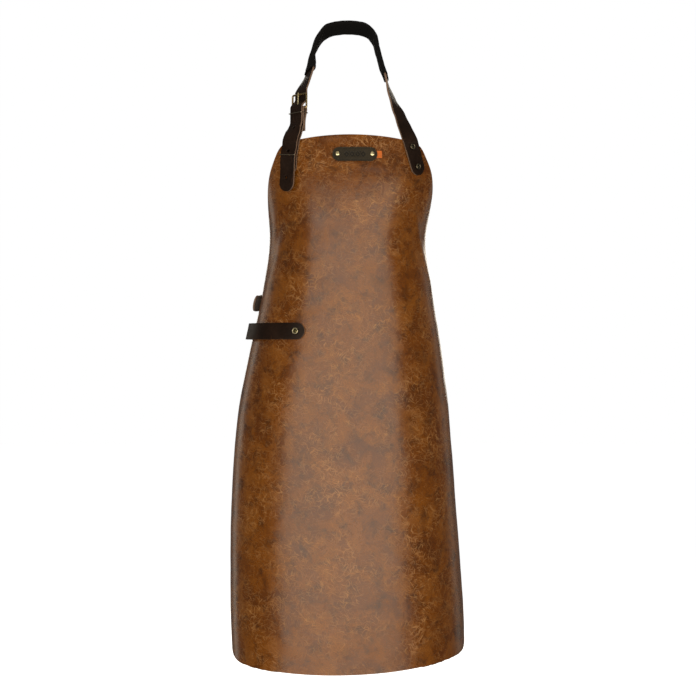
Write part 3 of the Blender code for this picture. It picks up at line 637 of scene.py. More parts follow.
# Materials
class Nodes:
    """A material's node tree with short calls for the nodes used here."""

    def __init__(self, name):
        self.made = bpy.data.materials.new(name)
        self.made.use_nodes = True
        self.tree = self.made.node_tree
        self.shader = self.tree.nodes["Principled BSDF"]

    def add(self, kind, **settings):
        return set_all(self.tree.nodes.new(kind), **settings)

    def link(self, source, target):
        self.tree.links.new(source, target)

    def feed(self, socket, value):
        """A number, a colour or another node's output into a socket."""
        if isinstance(value, (int, float)):
            socket.default_value = value
        elif isinstance(value, tuple):
            socket.default_value = (*value, 1.0)
        else:
            self.link(value, socket)

    def texture(self, kind, place, output, numbers, **settings):
        node = self.add("ShaderNodeTex" + kind, **settings)
        self.link(place, node.inputs["Vector"])
        for name, value in numbers.items():
            node.inputs[name].default_value = value
        return node.outputs[output]

    def cut_place(self, scale=(1, 1, 1), turn=0.0, shift=(0, 0, 0)):
        """Flat place on the leather in metres, scaled and turned."""
        place = self.add("ShaderNodeUVMap", uv_map="cut")
        move = self.add("ShaderNodeMapping")
        move.inputs["Scale"].default_value = scale
        move.inputs["Rotation"].default_value = (0, 0, radians(turn))
        move.inputs["Location"].default_value = shift
        self.link(place.outputs["UV"], move.inputs["Vector"])
        return move.outputs["Vector"]

    def object_place(self):
        return self.add("ShaderNodeTexCoord").outputs["Object"]

    def noise(self, place, scale, detail=2.0, rough=0.5, distortion=0.0):
        numbers = {"Scale": scale, "Detail": detail, "Roughness": rough,
                   "Distortion": distortion}
        return self.texture("Noise", place, "Fac", numbers)

    def cells(self, place, scale):
        return self.texture("Voronoi", place, "Distance", {"Scale": scale}, feature="F1")

    def wave(self, place, scale, direction, distortion):
        numbers = {"Scale": scale, "Distortion": distortion}
        return self.texture("Wave", place, "Fac", numbers, bands_direction=direction)

    def ramp(self, value, stops):
        node = self.add("ShaderNodeValToRGB")
        self.link(value, node.inputs["Fac"])
        bar = node.color_ramp
        while len(bar.elements) < len(stops):
            bar.elements.new(0.5)
        for element, (at, colour) in zip(bar.elements, stops):
            element.position = at
            if isinstance(colour, (int, float)):
                colour = (colour, colour, colour)
            element.color = (*colour, 1.0)
        return node.outputs["Color"]

    def mix(self, share, first, second, blend="MIX"):
        node = self.add("ShaderNodeMix", data_type="RGBA", blend_type=blend)
        for index, value in ((0, share), (6, first), (7, second)):
            self.feed(node.inputs[index], value)
        return node.outputs[2]

    def math(self, operation, first, second):
        node = self.add("ShaderNodeMath", operation=operation)
        self.feed(node.inputs[0], first)
        self.feed(node.inputs[1], second)
        return node.outputs[0]

    def bump(self, height, strength, distance, before=None):
        node = self.add("ShaderNodeBump")
        node.inputs["Strength"].default_value = strength
        node.inputs["Distance"].default_value = distance
        self.link(height, node.inputs["Height"])
        if before:
            self.link(before, node.inputs["Normal"])
        return node.outputs["Normal"]

    def finish(self, colour, rough, normal=None, **numbers):
        for name, value in {"Base_Color": colour, "Roughness": rough, **numbers}.items():
            self.feed(self.shader.inputs[name.replace("_", " ")], value)
        if normal:
            self.link(normal, self.shader.inputs["Normal"])
        return self.made


def hair_scratches(n, scale, seeds, low, high):
    """Fine short scratches in several directions, as a share from 0 to 1."""
    total = None
    for turn, seed in seeds:
        place = n.cut_place((1, 1, 1), turn, (seed, seed * 1.7, 0))
        drift = n.noise(place, 55, 2)
        bent = n.add("ShaderNodeVectorMath", operation="MULTIPLY_ADD")
        spread = n.add("ShaderNodeCombineXYZ")
        n.link(drift, spread.inputs["Y"])
        bent.inputs[1].default_value = (0.0, 0.016, 0.0)
        n.link(spread.outputs[0], bent.inputs[0])
        n.link(place, bent.inputs[2])
        stretch = n.add("ShaderNodeMapping")
        stretch.inputs["Scale"].default_value = (0.11, 1.0, 1.0)
        n.link(bent.outputs[0], stretch.inputs["Vector"])
        line = n.ramp(n.noise(stretch.outputs[0], scale, 1.5), ((low, 0.0), (high, 1.0)))
        total = line if total is None else n.math("MAXIMUM", total, line)
    return total


def hide_material():
    """Waxed full-grain hide: clouded, mottled, and finely scratched to a lighter tan."""
    n = Nodes("tan_hide")
    flat = n.cut_place()
    clouds = n.noise(flat, 5.0, 5, 0.62, 0.5)
    colour = n.ramp(clouds, (
        (0.30, (0.090, 0.023, 0.0008)), (0.46, (0.160, 0.042, 0.0010)),
        (0.58, (0.225, 0.064, 0.0016)), (0.72, (0.290, 0.090, 0.0035)),
    ))
    patches = n.noise(n.cut_place(shift=(3.1, 0.4, 0)), 28, 7, 0.66, 0.8)
    colour = n.mix(n.ramp(patches, ((0.40, 0.0), (0.62, 0.75))), colour, (0.310, 0.098, 0.0045))
    dark = n.ramp(n.noise(n.cut_place(shift=(0.7, 5.2, 0)), 46, 8, 0.7, 0.4),
                  ((0.50, 0.0), (0.66, 0.75)))
    colour = n.mix(dark, colour, (0.058, 0.016, 0.0012))
    specks = n.ramp(n.noise(flat, 520, 3, 0.7), ((0.35, 0.62), (0.70, 1.35)))
    colour = n.mix(1.0, colour, specks, "MULTIPLY")
    where = n.ramp(n.noise(n.cut_place(shift=(9.0, 2.0, 0)), 16, 4, 0.6),
                   ((0.40, 0.10), (0.62, 1.0)))
    fine = hair_scratches(n, 620, ((8, 0.0), (63, 2.3), (112, 4.1), (155, 7.7)), 0.615, 0.685)
    bold = hair_scratches(n, 330, ((-28, 5.0), (47, 8.3)), 0.66, 0.70)
    scratched = n.math("MULTIPLY", n.math("MAXIMUM", fine, n.math("MULTIPLY", bold, 0.9)), where)
    colour = n.mix(n.math("MULTIPLY", scratched, 0.62), colour, (0.62, 0.31, 0.110))
    rough = n.ramp(patches, ((0.30, 0.22), (0.70, 0.32)))
    rough = n.math("ADD", n.math("MULTIPLY", scratched, 0.12), rough)
    grain = n.math("ADD", n.cells(flat, 900), n.noise(flat, 240, 4, 0.6))
    normal = n.bump(grain, 0.12, 0.0003)
    normal = n.bump(scratched, 0.25, 0.0002, normal)
    normal = n.bump(n.noise(flat, 34, 3, 0.5), 0.20, 0.0018, normal)
    return n.finish(colour, rough, normal, Coat_Weight=0.10, Coat_Roughness=0.22)


def flesh_material(name, light, dark):
    """Suede-like back of the leather."""
    n = Nodes(name)
    flat = n.cut_place()
    fibre = n.noise(flat, 420, 5, 0.75, 1.5)
    colour = n.mix(n.ramp(fibre, ((0.35, 0.0), (0.65, 1.0))), dark, light)
    colour = n.mix(n.ramp(n.noise(flat, 9, 4), ((0.35, 0.0), (0.7, 0.45))), colour, dark)
    return n.finish(colour, 0.92, n.bump(fibre, 0.5, 0.0004), Sheen_Weight=0.25)


def edge_material(name, light, dark):
    """Cut edge, where the fibres show in thin layers."""
    n = Nodes(name)
    place = n.object_place()
    fibre = n.noise(place, 900, 4, 0.7, 0.6)
    colour = n.mix(n.ramp(fibre, ((0.35, 0.0), (0.68, 1.0))), dark, light)
    return n.finish(colour, 0.7, n.bump(fibre, 0.4, 0.0002))


def strap_material(name, base, worn, rough, pressed=None):
    """Waxed strap leather. Where the mesh has the attribute pressed, it is stained dark."""
    n = Nodes(name)
    flat = n.cut_place()
    clouds = n.noise(flat, 30, 5, 0.6, 0.5)
    colour = n.mix(n.ramp(clouds, ((0.35, 0.0), (0.72, 0.75))), base, worn)
    fine = hair_scratches(n, 300, ((4, 1.0), (88, 3.0), (38, 6.0)), 0.68, 0.74)
    colour = n.mix(n.math("MULTIPLY", fine, 0.30), colour, tuple(c * 4.0 for c in worn))
    specks = n.ramp(n.noise(flat, 700, 3, 0.7), ((0.35, 0.70), (0.70, 1.25)))
    colour = n.mix(1.0, colour, specks, "MULTIPLY")
    if pressed:
        stain = n.add("ShaderNodeAttribute", attribute_name=pressed)
        colour = n.mix(stain.outputs["Fac"], colour, (0.0030, 0.0024, 0.0018))
    grain = n.math("ADD", n.cells(flat, 1300), n.noise(flat, 420, 4, 0.6))
    normal = n.bump(grain, 0.30, 0.00025)
    normal = n.bump(n.noise(flat, 60, 2), 0.25, 0.0012, normal)
    return n.finish(
        colour, n.ramp(clouds, ((0.3, rough - 0.05), (0.7, rough + 0.09))), normal,
        Specular_IOR_Level=0.26,
    )


def cloth_material():
    n = Nodes("black_cloth")
    flat = n.cut_place()
    warp = n.wave(flat, 330, "X", 0.4)
    weft = n.wave(flat, 330, "Y", 0.4)
    weave = n.math("MULTIPLY", warp, weft)
    lint = n.noise(flat, 900, 4, 0.8)
    colour = n.mix(n.ramp(lint, ((0.45, 0.0), (0.75, 0.5))), (0.0045, 0.0043, 0.0045),
                   (0.020, 0.018, 0.017))
    normal = n.bump(weave, 0.5, 0.0003)
    normal = n.bump(n.noise(flat, 90, 3), 0.35, 0.0012, normal)
    return n.finish(colour, 0.93, normal, Specular_IOR_Level=0.2)


def ribbon_material():
    n = Nodes("orange_ribbon")
    flat = n.cut_place()
    ribs = n.wave(flat, 640, "Y", 0.15)
    warp = n.wave(flat, 420, "X", 0.15)
    weave = n.math("MULTIPLY", ribs, warp)
    colour = n.mix(weave, (0.80, 0.150, 0.010), (1.0, 0.33, 0.040))
    return n.finish(colour, 0.62, n.bump(weave, 0.6, 0.0003), Sheen_Weight=0.3)


def brass_material(name, bright, tarnish, rough):
    n = Nodes(name)
    place = n.object_place()
    stain = n.noise(place, 160, 5, 0.65, 0.6)
    colour = n.mix(n.ramp(stain, ((0.40, 0.0), (0.68, 1.0))), bright, tarnish)
    scuffs = n.noise(place, 1400, 3, 0.6)
    return n.finish(
        colour, n.ramp(stain, ((0.3, rough), (0.7, rough + 0.22))), n.bump(scuffs, 0.12, 0.0001),
        Metallic=1.0,
    )


def rivet_material(name, centre, ring, rough):
    """Antique cap: tarnished in its middle and its groove, with a painted highlight on its ring.
    """
    n = Nodes(name)
    split = n.add("ShaderNodeSeparateXYZ")
    n.link(n.cut_place(), split.inputs[0])
    # Colour by radius: the cap's own tone in the middle, darker in the groove and at the rolled
    # rim, and a painted highlight on the raised ring.
    colour = n.ramp(split.outputs["X"], (
        (0.0, centre), (0.44, centre), (0.52, tuple(c * 0.35 for c in centre)),
        (0.62, ring), (0.84, ring), (0.97, tuple(c * 0.45 for c in centre)),
    ))
    stain = n.noise(n.object_place(), 420, 4, 0.7)
    dull = tuple(c * 0.5 for c in centre)
    colour = n.mix(n.ramp(stain, ((0.45, 0.0), (0.75, 0.7))), colour, dull)
    return n.finish(colour, n.ramp(stain, ((0.3, rough), (0.7, rough + 0.25))),
                    n.bump(stain, 0.15, 0.0001), Metallic=1.0)


# Meshes
BODY_OF = {
    "neck_buckle_tongue": "neck_tongue", "waist_buckle_tongue": "waist_tongue",
    "neck_keeper_upper": "upper_keeper", "neck_keeper_lower": "lower_keeper",
    "waist_keeper": "belt_keeper",
}


def take_place(made, node):
    """A piece stands for the node of its name, on that node's body."""
    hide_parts(node)
    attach(made, BODY_OF.get(node, "apron"))
    return made


def settle(made, place=None):
    """An object again as the real mesh that its curve or modifiers give, shaded smooth."""
    graph = bpy.context.evaluated_depsgraph_get()
    mesh = bpy.data.meshes.new_from_object(made.evaluated_get(graph))
    name, source = made.name, made.data
    bpy.data.objects.remove(made, do_unlink=True)
    if isinstance(source, bpy.types.Mesh):
        bpy.data.meshes.remove(source)
    if place:
        mesh.transform(place)
    mesh.shade_smooth()
    return put(name, mesh)


def grid_piece(name, rows, thickness, finishes, rim, cutters=()):
    """Leather of an even thickness about a grid of (point, flat place), its cut edges rounded."""
    mesh = bmesh.new()
    layer = mesh.loops.layers.uv.new("cut")
    grid = [[mesh.verts.new(point) for point, flat in row] for row in rows]
    for i in range(len(rows) - 1):
        for k in range(len(rows[i]) - 1):
            corners = ((i, k), (i + 1, k), (i + 1, k + 1), (i, k + 1))
            face = mesh.faces.new([grid[a][b] for a, b in corners])
            for loop, (a, b) in zip(face.loops, corners):
                loop[layer].uv = rows[a][b][1]
    made = put(name, mesh_data(name, mesh, finishes))
    set_all(made.modifiers.new("thickness", "SOLIDIFY"), thickness=thickness, offset=0.0,
            material_offset=2, material_offset_rim=1)
    set_all(made.modifiers.new("rim", "BEVEL"), width=rim, segments=2, limit_method="ANGLE",
            angle_limit=radians(50))
    for cutter in cutters:
        set_all(made.modifiers.new("hole", "BOOLEAN"), operation="DIFFERENCE", solver="EXACT",
                object=cutter)
    return settle(made)


def strap_piece(name, path, finishes, width=STRAP_WIDTH, thickness=STRAP_THICKNESS,
                round_start=True, round_end=True, spacing=0.004, columns=10, sway=None,
                cutters=(), rim=EDGE_ROUND):
    half = width / 2
    rows = []
    for distance in strap_rows(path, half, round_start, round_end, spacing):
        point, along, face = path.frame(distance)
        across = along.cross(face)
        reach = end_profile(distance, path.length, half, round_start, round_end)
        shift = sway(distance) if sway else 0.0
        row = []
        for k in range(columns + 1):
            step = reach * (1 - 2 * k / columns)
            row.append((point + across * (shift + step), (distance, step)))
        rows.append(row)
    made = grid_piece(name + "_look", rows, thickness, finishes, rim, cutters)
    return take_place(made, name)


def cutter(place, radius, front, back):
    mesh = bmesh.new()
    bmesh.ops.create_cone(
        mesh, cap_ends=True, segments=DRILL_SIDES, radius1=radius, radius2=radius,
        depth=front + back,
    )
    bmesh.ops.translate(mesh, verts=mesh.verts, vec=(0, 0, (front - back) / 2))
    return cutter_object(mesh, place)


def cutter_object(mesh, place):
    made = put("cutter", mesh_data("cutter", mesh))
    made.matrix_world = place
    bpy.context.view_layer.update()
    return made


def box_cutter(place, size, centre):
    mesh = bmesh.new()
    bmesh.ops.create_cube(mesh, size=1.0)
    bmesh.ops.scale(mesh, verts=mesh.verts, vec=size)
    bmesh.ops.translate(mesh, verts=mesh.verts, vec=centre)
    return cutter_object(mesh, place)


def wire_piece(name, points, radius, place, finish, closed=False, tips=None):
    """Round wire through points given in a place's own axes, as a smooth tube."""
    data = set_all(bpy.data.curves.new(name, "CURVE"), dimensions="3D", bevel_depth=radius,
                   bevel_resolution=6, use_fill_caps=not closed)
    line = data.splines.new("POLY")
    line.points.add(len(points) - 1)
    for k, (knot, point) in enumerate(zip(line.points, points)):
        knot.co = (*point, 1.0)
        if tips and k >= len(points) - len(tips):
            knot.radius = tips[k - len(points) + len(tips)]
    line.use_cyclic_u = closed
    data.materials.append(finish)
    return take_place(settle(put(name + "_look", data), place), name)


def turned_piece(name, place, profile, finish):
    """Round piece turned from a profile of (radius, height), with its radius as a flat place."""
    mesh = bmesh.new()
    layer = mesh.loops.layers.uv.new("cut")
    top = max(radius for radius, height in profile)
    rings = []
    for radius, height in profile:
        if radius == 0.0:
            rings.append([mesh.verts.new((0, 0, height))])
            continue
        rings.append([
            mesh.verts.new((radius * cos(2 * pi * k / TURNED_SIDES),
                            radius * sin(2 * pi * k / TURNED_SIDES), height))
            for k in range(TURNED_SIDES)
        ])
    levels = list(zip(rings, profile))
    for (outer, outer_at), (inner, inner_at) in zip(levels, levels[1:]):
        for k in range(TURNED_SIDES):
            after = (k + 1) % TURNED_SIDES
            corners = []
            for ring, at, spot in ((outer, outer_at, k), (inner, inner_at, k),
                                   (inner, inner_at, after), (outer, outer_at, after)):
                vert = ring[spot % len(ring)]
                if not any(vert == other for other, share in corners):
                    corners.append((vert, at[0] / top))
            face = mesh.faces.new([vert for vert, share in corners])
            for loop, (vert, share) in zip(face.loops, corners):
                loop[layer].uv = (share, k / TURNED_SIDES)
    bmesh.ops.recalc_face_normals(mesh, faces=mesh.faces)
    data = mesh_data(name, mesh, [finish])
    data.transform(place)
    data.shade_smooth()
    return take_place(put(name + "_look", data), name)


def rivet_profile(cap_radius, grip):
    """Cap with a rolled ring round its low dome, a post, and a pressed base."""
    back = -(grip + BASE_SEAT)
    base = cap_radius * BASE_SHARE
    cap = [(share * cap_radius, CAP_SEAT + CAP_HEIGHT * rise) for share, rise in (
        (0.0, 0.92), (0.15, 0.90), (0.30, 0.80), (0.42, 0.62), (0.48, 0.56), (0.53, 0.60),
        (0.60, 0.86), (0.68, 0.99), (0.76, 1.0), (0.84, 0.92), (0.91, 0.74), (0.97, 0.46),
        (1.0, 0.22), (0.985, 0.06), (0.96, 0.0),
    )]
    return cap + [
        (POST_RADIUS, CAP_SEAT), (POST_RADIUS, back), (base * 0.94, back),
        (base, back - BASE_HEIGHT * 0.3), (base * 0.97, back - BASE_HEIGHT * 0.75),
        (base * 0.86, back - BASE_HEIGHT), (base * 0.40, back - BASE_HEIGHT),
        (base * 0.32, back - BASE_HEIGHT * 0.65), (0.0, back - BASE_HEIGHT * 0.55),
    ]


def plain_profile(cap_radius, grip):
    """Smooth domed cap."""
    dome = [(sin(a) * cap_radius, CAP_SEAT + CAP_HEIGHT * (0.22 + 0.78 * cos(a)))
            for a in [radians(9 * k) for k in range(11)]]
    return dome + rivet_profile(cap_radius, grip)[13:]


# Pieces
PANEL_COLUMNS = 200
PANEL_ROWS = 260
# Waves of the worn hide: how close along the arc and the drop, a shift, and the height.
RELIEF_WAVES = ((7.0, 4.0, 1.3, 0.0016), (19.0, 13.0, 8.1, 0.0007), (46.0, 40.0, 3.7, 0.00022))
# Riveted places where the hide lies still: arc, drop, half width and half height.
STILL_PLACES = (
    (LABEL_ARC, LABEL_DROP, 0.045, 0.020), (0.100, 0.034, 0.026, 0.044),
    (-0.092, 0.033, 0.026, 0.044), (LOOP_FRONT - 0.014, LOOP_DROP, 0.030, 0.024),
    (LOOP_REAR + 0.014, LOOP_DROP, 0.030, 0.024), (0.26, WAIST_DROP, 0.075, 0.024),
    (-0.27, WAIST_DROP, 0.075, 0.024),
)


def panel_relief(arc, drop):
    """How far the worn hide moves off its outline: long soft waves, and the armhole's folds."""
    wave = 0.0
    for across, down, shift, height in RELIEF_WAVES:
        wave += noise.noise(Vector((arc * across, drop * down, shift))) * height
    left = exp(-(((arc + 0.128 + (drop - 0.16) * 0.55) / 0.014) ** 2))
    left *= ease((drop - 0.06) / 0.05) * ease((0.25 - drop) / 0.08)
    right = exp(-(((arc - 0.130 - (drop - 0.16) * 0.50) / 0.009) ** 2))
    right *= ease((drop - 0.07) / 0.05) * ease((0.30 - drop) / 0.10)
    return wave - left * 0.0013 + right * 0.0014


def quiet_near_straps(arc, drop):
    """Share of the relief that is kept: none under the riveted pieces."""
    kept = 1.0
    for at_arc, at_drop, wide, high in STILL_PLACES:
        far = max(abs(arc - at_arc) / wide, abs(drop - at_drop) / high)
        kept = min(kept, ease((far - 0.8) / 0.7))
    return kept


def fine_rows():
    """Drops of the panel's rows, closer towards both ends of the cut."""
    rows = []
    for k in range(PANEL_ROWS + 1):
        share = k / PANEL_ROWS
        rows.append(PANEL_LENGTH * (share - 0.05 * sin(2 * pi * share) / pi))
    corner_start = PANEL_LENGTH - HEM_CORNER
    rows = [row for row in rows if row < corner_start]
    turns = [*range(3, 85, 3), 90]
    return rows + [corner_start + HEM_CORNER * sin(radians(a)) for a in turns]


def make_panel(finishes, cutters):
    rows = []
    drops = fine_rows()
    for number, drop in enumerate(drops):
        half = panel_half_width(drop)
        row = []
        for k in range(PANEL_COLUMNS + 1):
            share = 2 * k / PANEL_COLUMNS - 1
            arch = BIB_ARCH * share**2 * (1 - ease(drop / ARCH_FADE))
            sag = ease(drop / PANEL_LENGTH) * (HEM_BOW * share**2 + HEM_SKEW * share)
            arc, low = half * share, drop + arch - sag
            lift = panel_relief(arc, low) * quiet_near_straps(arc, low)
            row.append((on_body(arc, low, PANEL_THICKNESS / 2 + lift), (arc, drop)))
        rows.append(row)
    made = grid_piece("apron_panel_look", rows, PANEL_THICKNESS, finishes, EDGE_ROUND, cutters)
    take_place(made, "apron_panel")


class Kit:
    """The finishes, and the panel's cutters as the riveted pieces ask for them."""

    def __init__(self):
        self.hide = (hide_material(),
                     edge_material("hide_edge", (0.075, 0.028, 0.010), (0.020, 0.008, 0.004)),
                     flesh_material("hide_flesh", (0.26, 0.125, 0.050), (0.13, 0.055, 0.020)))
        self.dark = (strap_material("strap_leather", (0.0120, 0.0048, 0.0018),
                                    (0.030, 0.0125, 0.0055), 0.40),
                     edge_material("strap_edge", (0.36, 0.235, 0.165), (0.16, 0.095, 0.062)),
                     flesh_material("strap_flesh", (0.17, 0.105, 0.065), (0.07, 0.040, 0.024)))
        self.slate = (strap_material("label_leather", (0.030, 0.022, 0.0115),
                                     (0.050, 0.038, 0.021), 0.55, "pressed"),
                      edge_material("label_edge", (0.040, 0.026, 0.016), (0.010, 0.006, 0.004)),
                      flesh_material("label_flesh", (0.12, 0.09, 0.06), (0.05, 0.035, 0.02)))
        self.cloth = cloth_material()
        self.ribbon = ribbon_material()
        self.brass = brass_material("antique_brass", (0.62, 0.47, 0.24), (0.16, 0.115, 0.055),
                                    0.20)
        self.silver = brass_material("keeper_wire", (0.50, 0.42, 0.30), (0.20, 0.16, 0.11), 0.22)
        self.pale = brass_material("pale_brass", (0.86, 0.76, 0.46), (0.55, 0.45, 0.24), 0.26)
        # Both cap finishes carry a painted highlight on the ring; on the towel rivets' caps it is
        # much brighter.
        self.cap = rivet_material("dark_brass", (0.060, 0.052, 0.036), (0.22, 0.185, 0.125), 0.26)
        self.ring_highlight_cap = rivet_material("worn_brass", (0.13, 0.115, 0.045), (0.60, 0.52, 0.34),
                                       0.24)
        self.panel_cutters = []

    def rivets(self, names, path, distances, grip, profile=rivet_profile, finish=None,
               cap_radius=CAP_RADIUS, depth=STRAP_THICKNESS, stand_off=None):
        """Rivets at distances along a path. Gives the cutters for the strap they go through."""
        drills = []
        for name, distance in zip(names, distances):
            place = path.place(distance, depth / 2)
            here = grip + (stand_off(BIB_TOP - place.translation.z) if stand_off else 0.0)
            turned_piece(name, place, profile(cap_radius, here), finish or self.cap)
            drill = cutter(place, POST_RADIUS + GAP / 2, 0.002, here + 0.004)
            drills.append(drill)
            self.panel_cutters.append(drill)
        return drills

    def buckle(self, prefix, place):
        half = BUCKLE_OPENING / 2 + BUCKLE_WIRE
        bars = rounded_loop(half, 0.0, BUCKLE_LENGTH, BUCKLE_CORNER, 9)
        wire_piece(prefix + "_buckle_frame", bars, BUCKLE_WIRE, place, self.brass, closed=True)
        rest = BUCKLE_WIRE + GAP + TONGUE_WIRE
        hook = rest + BEND_GAP
        points = []
        for angle in range(-150, 91, 8):
            bend = radians(angle)
            points.append((0.0, -hook * cos(bend), hook * sin(bend)))
        for y in (0.25, 0.55, 0.85, 1.05, 1.10, 1.12):
            points.append((0.0, BUCKLE_LENGTH * y, hook + (rest - hook) * y))
        wire_piece(prefix + "_buckle_tongue", points, TONGUE_WIRE, place, self.pale,
                   tips=(1.0, 0.92, 0.78, 0.45))

    def tongue_cutters(self, place):
        hook = BUCKLE_WIRE + 2 * GAP + 2 * TONGUE_WIRE
        deep = FOLD_RADIUS + STRAP_THICKNESS
        top = FOLD_RADIUS + HALF_STRAP + 0.0004
        slot = box_cutter(place, (2 * TONGUE_WIRE + 2 * TONGUE_PLAY, 2 * hook + 0.002, deep + top),
                          (0, 0.0015, (top - deep) / 2))
        lean = Matrix.Translation((0, BUCKLE_LENGTH / 2, hook - TONGUE_WIRE))
        reach = BUCKLE_LENGTH * 0.46
        bore = cutter(place @ lean @ Matrix.Rotation(radians(90), 4, "X"),
                      TONGUE_WIRE + TONGUE_PLAY, reach, reach)
        return slot, bore

    def keeper(self, name, path, distance, low, high):
        upright = path.place(distance) @ Matrix.Rotation(radians(90), 4, "X")
        half = STRAP_WIDTH / 2 + KEEPER_GAP + KEEPER_WIRE
        edge = KEEPER_GAP + KEEPER_WIRE
        loop = rounded_loop(half, low - edge, high + edge, KEEPER_CORNER, 7)
        wire_piece(name, loop, KEEPER_WIRE, upright, self.silver, closed=True)

    def buckle_keeper(self, name, short_path, heel):
        """Keeper next to the buckle, round the fold, the flap and the long strap."""
        self.keeper(name, short_path, heel + KEEPER_STEP,
                    -2 * FOLD_RADIUS - HALF_STRAP + 0.001, SECOND_LAYER + HALF_STRAP + 0.0004)

    def fasten(self, prefix, place, short_path, long_path, inset, pitch, ends,
               stand_off=None, sway=None):
        """Both straps of a buckle with their rivets. Gives the first left rivet's distance."""
        slot, bore = self.tongue_cutters(place)
        right = self.rivets([f"{prefix}_rivet_right_{end}" for end in ends], long_path,
                            (inset, inset + pitch), STRAP_GRIP)
        foot = short_path.length - inset
        left = self.rivets([f"{prefix}_rivet_left_{end}" for end in ends], short_path,
                           (foot, foot - pitch), STRAP_GRIP, stand_off=stand_off)
        strap_piece(prefix + "_buckle_strap", short_path, self.dark, round_start=False,
                    cutters=[slot, *left])
        holes = strap_hole_cutters(long_path, place)
        strap_piece(prefix + "_strap", long_path, self.dark, cutters=[bore, *right, *holes],
                    sway=sway)
        self.buckle(prefix, place)
        return foot


def strap_hole_cutters(path, place):
    at_tongue = path.nearest(place @ Vector((0, BUCKLE_LENGTH * 0.37, 0.003)))
    drills = []
    for k in (-1, 1, 2, 3):
        distance = at_tongue + HOLE_PITCH * k
        if distance <= path.length - STRAP_WIDTH * 0.35:
            drills.append(cutter(path.place(distance), STRAP_HOLE, 0.0022, 0.0022))
    return drills


def make_neck(kit):
    feet = foot_stations(NECK_LEFT_FOOT, keeper_bulge)
    place = neck_buckle_axes()
    descent = [
        local_station(place, -0.010, FOLD_RADIUS, (0, 0, 1)),
        local_station(place, -0.026, FOLD_RADIUS - 0.0004, (0, 0, 1)),
    ]
    short_path = Path(fold_stations(place) + descent + feet)
    heel = short_path.nearest(place @ Vector((0, 0, FOLD_RADIUS)))
    long_before = [*reversed(foot_stations(NECK_RIGHT_FOOT)), *NECK_RIGHT_LEG, *NECK_CROWN]
    long_path = Path(long_before + threaded_stations(place) + neck_tail(short_path, heel))
    sway_start = long_path.length - NECK_SWAY_LENGTH
    foot = kit.fasten(
        "neck", place, short_path, long_path, NECK_RIVET_INSET, NECK_RIVET_PITCH,
        ("lower", "upper"), keeper_bulge, lambda d: NECK_TAIL_SWAY * ease((d - sway_start) / 0.03),
    )
    make_pad(long_path, kit)
    kit.buckle_keeper("neck_keeper_upper", short_path, heel)
    kit.keeper("neck_keeper_lower", short_path, foot - NECK_RIVET_PITCH / 2,
               -HALF_STRAP, TAIL_RISE + HALF_STRAP)


def make_pad(path, kit):
    """Sleeve round the neck strap: softly gathered, with hemmed ends."""
    start = path.nearest(Vector(NECK_RIGHT_LEG[-1][0]))
    end = path.nearest(Vector(NECK_CROWN[-1][0]))
    half_wide = PAD_WIDTH / 2 - PAD_WALL / 2
    half_deep = HALF_STRAP + PAD_WALL / 2 + PAD_ROOM
    rows = []
    for distance in spaced(start, end, PAD_ROW):
        point, along, face = path.frame(distance)
        across = along.cross(face)
        from_end = min(distance - start, end - distance)
        hem = exp(-(((from_end - PAD_HEM) / PAD_HEM_WIDTH) ** 2))
        row = []
        for k in range(PAD_COLUMNS + 1):
            turn = -2 * pi * (k % PAD_COLUMNS) / PAD_COLUMNS
            wide = copysign(abs(cos(turn)) ** 0.55, cos(turn))
            deep = copysign(abs(sin(turn)) ** 0.62, sin(turn))
            ring = Vector((cos(turn) * 1.3, sin(turn) * 1.3, distance * 60))
            puff = noise.noise(ring) * 0.0006 + noise.noise(ring * 2.7) * 0.0003
            puff += 0.0003 - hem * PAD_HEM_DEPTH
            wide_by = half_wide * wide + puff * wide
            deep_by = half_deep * deep + puff * deep
            row.append((point + across * wide_by + face * deep_by,
                        (distance, PAD_GIRTH * k / PAD_COLUMNS)))
        rows.append(row)
    made = grid_piece("neck_pad_look", rows, PAD_WALL, (kit.cloth,) * 3, 0.0003)
    mesh = bmesh.new()
    mesh.from_mesh(made.data)
    bmesh.ops.remove_doubles(mesh, verts=mesh.verts, dist=0.00002)
    mesh.to_mesh(made.data)
    mesh.free()
    take_place(made, "neck_pad")


def make_waist(kit):
    place = waist_buckle_axes()
    wing_start = WAIST_HEEL_ARC + CLIMB_START
    wing = level_stations(wing_start, WAIST_LEFT_START, 0.011, WAIST_DROP, waist_lift)
    short_path = Path(fold_stations(place) + wing)
    heel = short_path.nearest(place @ Vector((0, 0, FOLD_RADIUS)))
    girth = ellipse_arcs(*smooth_read(SECTIONS, WAIST_DROP)[1:3])[1][-1]
    far_arc = girth + WAIST_HEEL_ARC - BUCKLE_LENGTH - 0.016
    before = level_stations(WAIST_RIGHT_START, far_arc, 0.016, WAIST_DROP, STRAP_LIFT)
    long_path = Path(before + threaded_stations(place) + waist_tail(short_path, heel))
    kit.fasten("waist", place, short_path, long_path, WAIST_RIVET_INSET, WAIST_RIVET_PITCH,
               ("front", "rear"))
    kit.buckle_keeper("waist_keeper", short_path, heel)


def label_press(along, across):
    """How deep the label is pressed, from 0 to 1: a border line and a row of ringed lozenges."""
    half_long, half_wide = LABEL_LENGTH / 2, LABEL_WIDTH / 2
    past = max(abs(along) - (half_long - half_wide), 0.0)
    from_edge = half_wide - hypot(past, across)
    press = exp(-(((from_edge - BORDER_INSET) / BORDER_WIDTH) ** 2)) * 0.4
    for centre in (-0.0126, -0.0042, 0.0042, 0.0126):
        size = abs(along - centre) / 0.0040 + abs(across) / 0.0048
        press = max(press, ease((1.0 - size) / 0.2) * (1 - ease((0.60 - size) / 0.15)))
    for centre in (-0.0084, 0.0, 0.0084):
        size = abs(along - centre) / 0.0010 + (abs(across) - 0.0030) ** 2 / 0.0010**2
        press = max(press, ease((1.0 - size) / 0.4))
    return press


